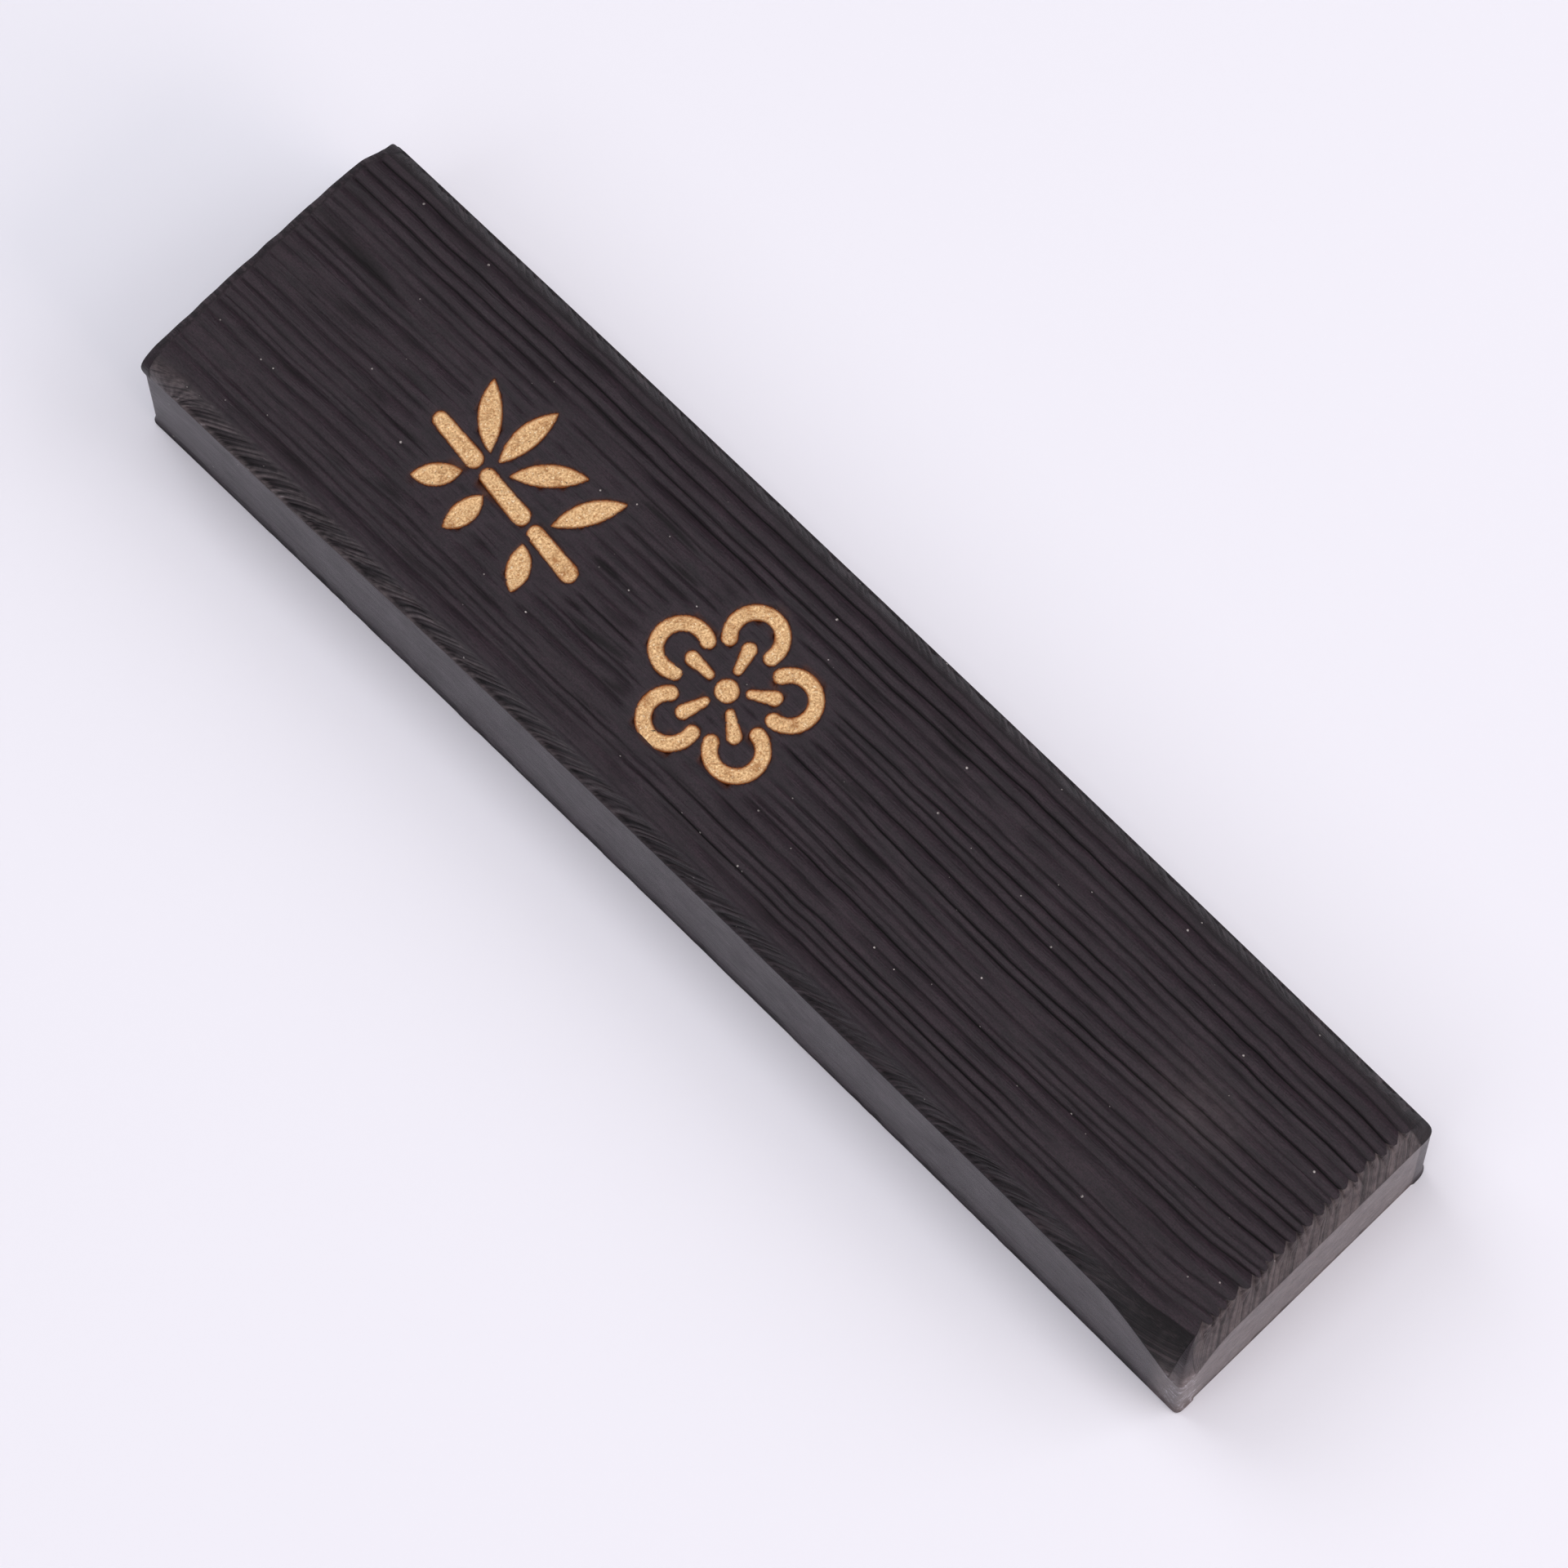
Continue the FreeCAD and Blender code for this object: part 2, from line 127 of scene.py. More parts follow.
def distance_to_marks(x, y):
    """Distance in millimetres to the nearest mark, negative inside one and at most REACH."""
    nearest = np.full(x.shape, REACH)
    for segments in OUTLINES.values():
        low, high = segments.min(axis=(0, 1)) - REACH, segments.max(axis=(0, 1)) + REACH
        near = (x > low[0]) & (x < high[0]) & (y > low[1]) & (y < high[1])
        nearest[near] = np.minimum(nearest[near], distance_to_outline(x[near], y[near], segments))
    return nearest


# The grain of the mould is planks: flat lengthwise ridges that meet at narrow notches. The
# columns of the top's grid follow the notches, so that each one is sharp.
NOTCHES = 22
NOTCH_DEPTH = 0.15
NOTCH_HALF = 0.02
NOTCH_WALL = 0.05
NOTCH_COLUMNS = (-0.075, -0.022, 0.022, 0.075, 0.19, 0.34)    # a notch's columns beside it, mm
plank_widths = np.random.default_rng(27).uniform(0.5, 1.1, NOTCHES + 1)
notch_share = np.cumsum(plank_widths)[:-1] / plank_widths.sum()


def left_rim(y):
    """x of the left rim: straight, with waves of 0.04 mm, then curving in by 0.55 mm over its last
    4.5 mm, since the bevel is wider at the worn near corner."""
    return -RIM_X + 0.55 * np.clip((-y - RIM_Y + 4.5) / 4.5, 0, 1) ** 2 + 0.04 * soft_noise(51, y / 1.4 + 40)


def right_rim(y):
    """x of the right rim: straight, with the 0.035 mm waves of a hand-cut mould, then curving in
    by 0.15 mm over its last 3 mm."""
    return RIM_X - 0.15 * np.clip((-y - RIM_Y + 3) / 3, 0, 1) ** 2 + 0.035 * soft_noise(52, y / 1.1 + 40)


def notch_place(k, y):
    """x of notch k at y: its share of the width, the slow waves that all notches have in common,
    and a small wander of its own."""
    share = notch_share[k]
    flow = 0.30 * soft_noise(3, share * 2.3 + 20 + 0 * y, y / 17 + 20) * math.sin(math.pi * share)
    wander = 0.08 * soft_noise(100 + k, y / 11 + 20) + 0.018 * soft_noise(130 + k, y / 2.1 + 20)
    return left_rim(y) + (right_rim(y) - left_rim(y)) * share + flow + wander


def notch_strength(k, y):
    """Depth of notch k at y from 0 to about 1.2: most notches run the whole length, and some
    die out for a while. They are strongest near the right rim, and shallower in the far half."""
    rng = np.random.default_rng(400 + k)
    base, swing = rng.uniform(0.55, 1.0), rng.uniform(0.2, 0.8)
    strength = base + swing * soft_noise(200 + k, y / 9 + 20) + 0.18 * soft_noise(230 + k, y / 2.2 + 20)
    strong_side = 0.35 * smooth_step(np.full_like(y, notch_share[k]), 0.72, 0.9)
    fade = 1 - 0.5 * smooth_step(y, -4, 20) * (1 - 2 * strong_side)
    return np.clip(strength + strong_side, 0.05, 1.25) * fade


def notch_section(t, width):
    """A notch's section from 0 to 1: a narrow V with steep walls, and a faint slope that climbs
    from it towards +X over a width in millimetres, as (1 - t / width)^1.5."""
    narrow = np.clip(1 - (np.abs(t) - NOTCH_HALF) / NOTCH_WALL, 0, 1)
    slope = np.clip(1 - t / width, 0, 1) ** 1.5 * (t > 0)
    return 0.84 * narrow + 0.16 * np.where(t > 0, slope, narrow)


# Beside the notches the far half has short slanting gouges.
GOUGES = 150
GOUGES_START = -8.0     # y of the nearest gouge's middle, mm


def gouge_height(x, y):
    """Height of the short shallow gouges, in millimetres: each is a line 1.6 to 7 mm long with the
    section exp(-(t / width)^2), steeper on its left. Most run lengthwise, and they slant where the
    grain of the mould's wood swung, left of the middle."""
    rng = np.random.default_rng(31)
    height = np.zeros(x.shape)
    for _ in range(GOUGES):
        middle_x, middle_y = rng.uniform(-RIM_X + 0.3, RIM_X - 0.3), rng.uniform(GOUGES_START, RIM_Y - 0.5)
        half = rng.uniform(0.8, 3.6)
        slant = -0.13 * math.exp(-((middle_x + 4) / 3.2) ** 2) * (middle_y > 3) + rng.uniform(-0.02, 0.02)
        depth, width = rng.uniform(0.04, 0.11), rng.uniform(0.05, 0.11)
        near = (np.abs(y - middle_y) < half) & (np.abs(x - middle_x) < 1.2)
        t = x[near] - middle_x - slant * (y[near] - middle_y)
        along = 1 - ((y[near] - middle_y) / half) ** 2
        side = np.where(t > 0, width * 2.0, width)
        height[near] -= depth * np.exp(-(t / side) ** 2) * along
    return height


def top_shape(x, y, to_mark):
    """Height of the top above its nominal plane, in millimetres, and how deep in a notch each
    point is, from 0 to 1. Each plank tilts and lies at a level of its own; notches and gouges are
    cut into them. On the smooth ground round the marks the grain dies out, and the pockets have
    steep walls, a rounded shoulder and a level floor."""
    grained = smooth_step(to_mark, 0.25, 1.3)
    height = np.zeros(x.shape)
    depth = np.zeros(x.shape)
    places = np.stack([notch_place(k, y) for k in range(NOTCHES)])
    for k in range(NOTCHES):
        t = x - places[k]
        section = notch_section(t, 0.30 + 0.12 * (k % 3)) * (t > -0.2) * (t < 0.8)
        strength = notch_strength(k, y)
        height -= NOTCH_DEPTH * strength * section
        within = np.clip(1.1 - (np.abs(t) - NOTCH_HALF) / NOTCH_WALL, 0, 1)
        depth = np.maximum(depth, strength * within)
    plank = (places < x).sum(axis=0)
    tilts = np.random.default_rng(29).uniform(-0.025, 0.02, NOTCHES + 1)
    levels = np.random.default_rng(30).uniform(-0.03, 0.0, NOTCHES + 1)
    left = np.concatenate([places[:1] - 0.5, places])
    into = x - np.take_along_axis(left, plank[None], 0)[0]
    height += 0.7 * levels[plank] + tilts[plank] * (into - 0.35)
    gouges = gouge_height(x, y)
    height += gouges
    depth = np.maximum(depth, np.clip((-gouges - 0.045) / 0.07, 0, 0.8))
    height = height * (0.10 + 0.90 * grained)
    depth = depth * grained
    height *= 1 - 0.45 * smooth_step(-y, RIM_Y - 0.35, RIM_Y - 0.02)
    height += (0.006 * soft_noise(7, x / 0.8 + 90, y / 4.5 + 90)
               + 0.02 * soft_noise(8, x / 6 + 9, y / 9 + 9))
    height += 0.005 * soft_noise(6, x / 0.17 + 90, y / 0.7 + 90)
    height -= 0.02 + np.clip(height, 0, 1)
    wall = smooth_step(0.04 - to_mark, 0, 0.10)
    shoulder = 0.045 * np.exp(-np.abs(to_mark) / 0.08)
    pocket = POCKET_FLOOR - POCKET_SPARE - TOP
    return height * (1 - wall) + pocket * wall - shoulder * (1 - wall), depth


def spaced(*stretches):
    """Numbers from the first stretch's start to the last one's end, each stretch being
    (start, end, greatest spacing)."""
    runs = [np.linspace(a, b, int(np.ceil((b - a) / step - 1e-9)) + 1)[:-1] for a, b, step in stretches]
    return np.concatenate(runs + [[stretches[-1][1]]])


COLUMN_GAP = 0.012      # the least distance between two columns, mm


def top_columns(y):
    """x of every column of the top's grid for each y: both rims, and round each notch a set of
    columns at fixed distances. The columns are sorted, and kept COLUMN_GAP apart."""
    columns = [left_rim(y), left_rim(y) + 0.10, right_rim(y) - 0.10, right_rim(y)]
    for k in range(NOTCHES):
        place = notch_place(k, y)
        columns += [place + offset for offset in NOTCH_COLUMNS]
    columns = np.sort(np.stack(columns), axis=0)
    least = COLUMN_GAP * np.arange(len(columns))[:, None]
    columns = np.maximum.accumulate(columns - least, axis=0) + least
    width = columns[-1] - columns[0]
    return columns[0] + (columns - columns[0]) * (right_rim(y) - left_rim(y)) / width


def finger_tips(x, y_end, seed):
    """How far each plank's end stands beyond the rim line, in parts of a tip's reach: a rounded
    finger, 1 - |2 t^0.7 - 1|^2.2 over the plank's width t, which starts behind the line at its
    notches and is fullest a little to the left of its middle."""
    places = np.array([notch_place(k, np.array([y_end]))[0] for k in range(NOTCHES)])
    edges = np.concatenate([[-RIM_X - 0.3], places, [RIM_X + 0.3]])
    plank = np.clip(np.searchsorted(edges, x) - 1, 0, NOTCHES)
    t = (x - edges[plank]) / (edges[plank + 1] - edges[plank])
    longer = np.random.default_rng(seed).uniform(0.6, 1.2, NOTCHES + 1)[plank]
    return longer * (1 - np.abs(2 * t ** 0.7 - 1) ** 2.2) - 0.55


def ring_of(columns, rows):
    """Grid indices of the border of a columns x rows grid, anticlockwise from (0, 0), each
    corner once."""
    index = np.arange(columns * rows).reshape(columns, rows)
    return np.concatenate([index[:-1, 0], index[-1, :-1], index[:0:-1, -1], index[0, :0:-1]])


def grid_triangles(columns, rows):
    """Two triangles for each cell of a grid, anticlockwise seen from +Z."""
    index = np.arange(columns * rows).reshape(columns, rows)
    a, b, c, d = index[:-1, :-1], index[1:, :-1], index[1:, 1:], index[:-1, 1:]
    return np.concatenate([np.stack([a, b, c], -1).reshape(-1, 3), np.stack([a, c, d], -1).reshape(-1, 3)])


def band_triangles(upper, lower):
    """The outward-facing band between two closed rings of vertex indices with as many entries,
    both anticlockwise from above. Where a ring repeats an index the cell is one triangle."""
    next_upper, next_lower = np.roll(upper, -1), np.roll(lower, -1)
    faces = np.concatenate([np.stack([lower, next_lower, upper], -1),
                            np.stack([next_lower, next_upper, upper], -1)])
    whole = (faces[:, 0] != faces[:, 1]) & (faces[:, 1] != faces[:, 2]) & (faces[:, 2] != faces[:, 0])
    return faces[whole]


def new_piece(name, points, triangles, attributes=None, creases=None):
    """A smooth-shaded mesh object from points in millimetres, with one number per point for each
    attribute. An edge is sharp where both its ends have the same crease number above 0."""
    mesh = bpy.data.meshes.new(name)
    mesh.vertices.add(len(points))
    mesh.vertices.foreach_set("co", (np.asarray(points) * MM).astype(np.float32).ravel())
    mesh.loops.add(triangles.size)
    mesh.loops.foreach_set("vertex_index", triangles.ravel().astype(np.int32))
    mesh.polygons.add(len(triangles))
    mesh.polygons.foreach_set("loop_start", np.arange(0, triangles.size, 3, dtype=np.int32))
    mesh.update(calc_edges=True)
    mesh.polygons.foreach_set("use_smooth", np.ones(len(triangles), bool))
    for key, values in (attributes or {}).items():
        layer = mesh.attributes.new(key, "FLOAT", "POINT")
        layer.data.foreach_set("value", np.asarray(values, np.float32))
    if creases is not None:
        ends = np.empty(len(mesh.edges) * 2, np.int32)
        mesh.edges.foreach_get("vertices", ends)
        first, second = creases[ends.reshape(-1, 2)].T
        layer = mesh.attributes.new("sharp_edge", "BOOLEAN", "EDGE")
        layer.data.foreach_set("value", (first == second) & (first > 0))
    mesh.validate()
    piece = bpy.data.objects.new(name, mesh)
    bpy.context.scene.collection.objects.link(piece)
    return piece


# The rim goes round as a ring of fine steps, which fans out at each corner. The corners are
# near left, near right, far right and far left. Their outlines are superellipses: a power of 2
# is round, and larger ones are squarer. Sides are numbered, with halves for the corners.
CORNER_STEPS = 17
RING_STEP = 0.10
SQUARENESS = (8.0, 4.0, 6.0, 5.0)
NEAR_LEFT, NEAR, RIGHT, FAR, LEFT = -0.5, 0.0, 1.0, 2.0, 3.0


def shoulder_ring(ends_near, ends_far, lines_y):
    """The ring of the bevel's foot, from the near left corner. For each of its points: its place
    on the rim's rectangle, its outward direction with the corner's stretch, and its side. The
    direction turns evenly round a corner, and is stretched to a superellipse."""
    side = spaced(*[(a, b, RING_STEP) for a, b in zip(lines_y[:-1], lines_y[1:])])
    anchors, outwards, sides = [], [], []
    runs = [(ends_near, -RIM_Y), (side, RIM_X), (ends_far[::-1], RIM_Y), (side[::-1], -RIM_X)]
    for number, ((steps, level), power) in enumerate(zip(runs, SQUARENESS)):
        start = -math.pi + number * math.pi / 2
        turn = np.linspace(0, math.pi / 2, CORNER_STEPS)[1:-1]
        stretch = (np.cos(turn) ** power + np.sin(turn) ** power) ** (-1 / power)
        fixed = np.full(len(steps), level)
        edge = np.stack([steps, fixed] if number % 2 == 0 else [fixed, steps], -1)
        angle = np.concatenate([start + turn, np.full(len(edge), start + math.pi / 2)])
        stretch = np.concatenate([stretch, np.ones(len(edge))])
        anchors += [np.repeat(edge[:1], len(turn), 0), edge]
        outwards.append(np.stack([np.cos(angle), np.sin(angle)], -1) * stretch[:, None])
        sides += [np.full(len(turn), number - 0.5), np.full(len(edge), float(number))]
    return np.concatenate(anchors), np.concatenate(outwards), np.concatenate(sides)


def way_round(places):
    """How far round the rim's rectangle each place is, in millimetres, from the near left corner."""
    x, y = places[:, 0] + RIM_X, places[:, 1] + RIM_Y
    wide, long = 2 * RIM_X, 2 * RIM_Y
    near, right, far = np.isclose(y, 0), np.isclose(x, wide), np.isclose(y, long)
    beyond = np.where(far, 2 * wide + long - x, 2 * wide + 2 * long - y)
    return np.where(near, x, np.where(right, wide + y, beyond))


# Long bevels are hatched with slanting strands, in bundles; end bevels with fine oblique lines.
STRAND_PITCH = 0.52
BUNDLE_PITCH = 1.7
LEAN_LEFT = 3.0         # how far along the edge a strand goes on its way to the foot, mm
LEAN_LYING = 2.2        # how much further where the strands lie down, mm
LEAN_CURVE = 1.2
LEAN_RIGHT = 1.3
END_PITCH = 0.24
END_LEAN = 1.2


def strand_shift(side, y, t):
    """How far along the edge a strand has moved when it has gone t of the way from the rim to the
    foot, in millimetres: LEAN_LEFT (1 - (1 - t)^1.2) on the left, which slants most at the rim,
    and LEAN_RIGHT t on the right. It dies out towards the corners."""
    window = smooth_step(RIM_Y - y, 0.0, 6.5) * smooth_step(RIM_Y + y, 0.0, 9.0)
    left = LEAN_LEFT * (1 - (1 - t) ** LEAN_CURVE)
    right = LEAN_RIGHT * t
    return window * np.where(side == LEFT, left, np.where(side == RIGHT, right, 0.0))


def strand_line(side, y, t, anchor):
    """Which strand a point of a bevel is on, in millimetres along the edge: y less the lean on the
    left, and the place plus the lean on the near end. Towards the near end the left strands lie
    down: they run almost along the edge and are up to 1.9 times as coarse."""
    lying = smooth_step(-y, 15, 34)
    lean = LEAN_LEFT + LEAN_LYING * lying
    left = (y + RIM_Y - lean * (1 - (1 - t) ** LEAN_CURVE)) / (1 + 0.9 * lying)
    near_end = anchor + END_LEAN * t
    return np.where(side == LEFT, left, np.where(side == NEAR, near_end, anchor))


def bevel_relief(side, way, t):
    """How far the hatching stands out of the bevel, in millimetres, and how deep in a valley each
    point is, from 0 to 1. A strand's section is |sin(pi way / pitch)|^0.8, with a wandering phase
    and a height of its own, and bundles are made in the same way. The relief starts at the rim,
    ends at the foot, and dies out towards the near corners and the far left one."""
    on_left = side == LEFT
    on_long = on_left | (side == RIGHT)
    slow = soft_noise(21, way / 2.3 + 9, t * 2 + 9)
    phase = way / STRAND_PITCH + 0.9 * slow
    crest = np.abs(np.sin(math.pi * phase)) ** 0.8
    own = 0.6 + 0.7 * soft_noise(22, np.floor(phase) * 1.31 + 5, side * 5.3)
    bundle_phase = way / BUNDLE_PITCH + 0.5 * soft_noise(24, way / 4 + 9, side * 3.0)
    bundle = np.abs(np.sin(math.pi * bundle_phase)) ** 0.7
    bundle_own = 0.7 + 0.5 * soft_noise(25, way / 1.7 + 9, side * 3.0)
    long_relief = 0.080 * own * crest + 0.070 * bundle * bundle_own
    end_phase = (way + END_LEAN * t) / END_PITCH + 0.3 * slow
    end_crest = np.abs(np.sin(math.pi * end_phase)) ** 0.8
    end_relief = 0.045 * (0.6 + 0.6 * soft_noise(23, np.floor(end_phase) * 1.7, side * 5.0)) * end_crest
    strength = np.where(on_left, 1.6, 1.2)
    relief = np.where(on_long, strength * (long_relief - 0.16), end_relief - 0.045)
    valley = np.where(on_long, 0.55 * (1 - crest) + 0.6 * (1 - bundle), 0.5 * (1 - end_crest))
    rise = smooth_step(t, 0.0, 0.45) * smooth_step(1.0 - t, 0.0, 0.10)
    near_fade = smooth_step(RIM_Y + way, np.where(on_left, 1.0, 0.0), np.where(on_left, 7.0, 0.8))
    near_corner = np.where(on_long, near_fade, 1.0)
    far_corner = np.where(on_left, smooth_step(RIM_Y - way, 0.5, 6.5), 1.0)
    deeper = np.where(on_left, 1.0 + 0.5 * smooth_step(t, 0.5, 0.9), 1.0)
    valley = np.clip(valley * deeper, 0, 1) * (0.3 + 0.7 * far_corner)
    return relief * rise * near_corner * far_corner, valley * rise


def bevel_looks(side, side_y, valley, t):
    """How much painted shade, how much wear and painted light, and how hatched each point is, t of the
    way down the bevel. The valleys of the hatching get painted shade. The left bevel is darker at the
    near end, with painted highlights on its crests towards the far end; the right one is painted in
    shade throughout; and the near end is lightened all over, partly for rubbing and partly as painted
    light from the front lamps."""
    # Painted shade: the valleys of the hatching, the left bevel towards its near end and the whole right
    # bevel are painted darker.
    dark = valley * np.where(side == NEAR, 0.2, 0.8)
    near_left = 0.95 * smooth_step(-side_y, RIM_Y - 9, RIM_Y - 2)
    dark = np.where(side == LEFT, np.maximum(dark, near_left), dark)
    dark = np.where(np.abs(side - RIGHT) < 0.6, np.maximum(dark, 0.6), dark)
    # Painted highlights: the crests of the left bevel are lightened, most towards the far end.
    crests = (0.10 + 0.90 * smooth_step(side_y, -12, 25)) * (1 - valley) ** 3
    rub_and_light = np.where(side == LEFT, crests, 0.0) * smooth_step(t, 0, 0.5)
    # The near end bevel is lightened all over, partly for rubbing and partly as painted light from the front
    # lamps.
    rub_and_light = np.where(side == NEAR, 0.62, rub_and_light)
    begun = np.where(side == NEAR, 1.0, smooth_step(t, 0, 0.4))
    hatched = np.where((side % 1 == 0) & (t < 1), begun, 0.0)
    return dark, rub_and_light, hatched


BEVEL_LOOPS = (0.025, 0.10, 0.22, 0.36, 0.50, 0.64, 0.78, 0.90, 0.975, 1.0)     # parts of the way down
RIM_LEVEL = TOP - 0.03
FOOT = TOP - BEVEL_RISE
# How far each loop of the sides stands out of the side, and its height, in millimetres.
SIDE_LOOPS = [(0.0, FOOT - 0.05), (0.0, 6.3), (0.0, 4.6), (0.0, 2.8), (0.0, 1.4), (0.0, LIP_HEIGHT + 0.10),
              (LIP_PROUD * 0.15, LIP_HEIGHT - 0.1), (LIP_PROUD * 0.55, LIP_HEIGHT - 0.25), (LIP_PROUD, 0.24),
              (LIP_PROUD, 0.10), (LIP_PROUD * 0.75, 0.0), (-0.6, 0.0)]


def side_loop(side, moved, outward, foot_drop, reach, level):
    """One loop of the sides: the rim's rectangle pushed out by the bevel's width, the loop's reach
    and a slow wobble. The lip's edge is uneven, and the loops under the worn corner sink."""
    height = float(level) - foot_drop * smooth_step(np.array(float(level)), LIP_HEIGHT, FOOT)
    along = moved.sum(axis=1)
    wobble = 0.012 * soft_noise(31, along / 3 + 90, level / 2 + 0 * side) if level > 0 else 0.0
    proud = np.where(side == NEAR, 0.3, 1.0) * reach
    if 0.0 < level < LIP_HEIGHT:
        proud = proud - 0.06 * np.clip(soft_noise(32, along / 0.7 + 90), 0, 1)
        height += 0.05 * soft_noise(33, along / 1.3 + 90) * (level > 0.3)
    return np.column_stack([moved + outward * (BEVEL_WIDTH + proud + wobble)[:, None], height])


LEFT_DRAFT = 0.3        # how much further in the left side is at its top than at its base, mm
BOW = 0.17              # how far the long sides bend towards +X at mid-length, mm
NEAR_CUT = 0.22         # how far the near end face stands back, mm
FAR_REACH = 0.55        # how much further than the other rims the far rim reaches, mm
FAR_BELLY = 0.11        # how far the far end bulges in the middle of its width, mm
CHIP = 0.35             # how deep the far right corner is chipped, mm


def dried(points):
    """The points as drying and wear left them: the left side leans in at its top, both long sides
    bow towards +X by a parabola in y, the near end stands back, and the far end has a belly, an
    uneven outline and a chip. Nothing goes past the CAD box."""
    x, y, z = points.T
    middle = smooth_step(y, -RIM_Y, -RIM_Y + 6) * (1 - smooth_step(y, 10, RIM_Y))
    draft = LEFT_DRAFT * np.clip(z / FOOT, 0, 1) * smooth_step(-x, RIM_X, RIM_X + BEVEL_WIDTH)
    x = x + draft * middle
    fade = smooth_step(np.abs(x), 5.5, 8.5)
    bend = BOW * (1 - (y / cake_high[1]) ** 2) - BOW * (x > 0)
    x = x + bend * fade
    shoulder = RIM_Y + BEVEL_WIDTH
    before = (-99, -shoulder, -RIM_Y, 0, shoulder - 6, RIM_Y, shoulder, 99)
    after = (NEAR_CUT - 99, NEAR_CUT - shoulder, -RIM_Y, 0, shoulder - 6, RIM_Y + FAR_REACH, shoulder, 99)
    y = np.interp(y, before, after)
    belly = FAR_BELLY * (1 - (x / cake_high[0]) ** 2) + 0.03 * soft_noise(71, x / 0.9 + 40) - 0.04
    chip = CHIP * np.exp(-((x - RIM_X) / 0.8) ** 2)
    high_up = smooth_step(z, LIP_HEIGHT, 3.0)
    y = y + (belly - chip * smooth_step(z, 5, 7)) * high_up * smooth_step(y, 33, 37)
    return np.clip(np.stack([x, y, z], -1), cake_low, cake_high)


NEAR_TIP = 0.50         # how far a plank's end can stand beyond the near rim, mm
FAR_TIP = 0.10
WORN_DROP = 2.3         # how much lower the bevel's foot runs at the worn near left corner, mm
FAR_DROP = 0.25         # how far the narrow round of the far end falls, mm
# The first look is painted shade: it darkens the ink's colour and makes it rougher. The fourth is real wear
# together with painted light, and it lightens the colour.
LOOKS = ("painted_shade", "stain", "side", "wear_and_light", "strand", "hatched")


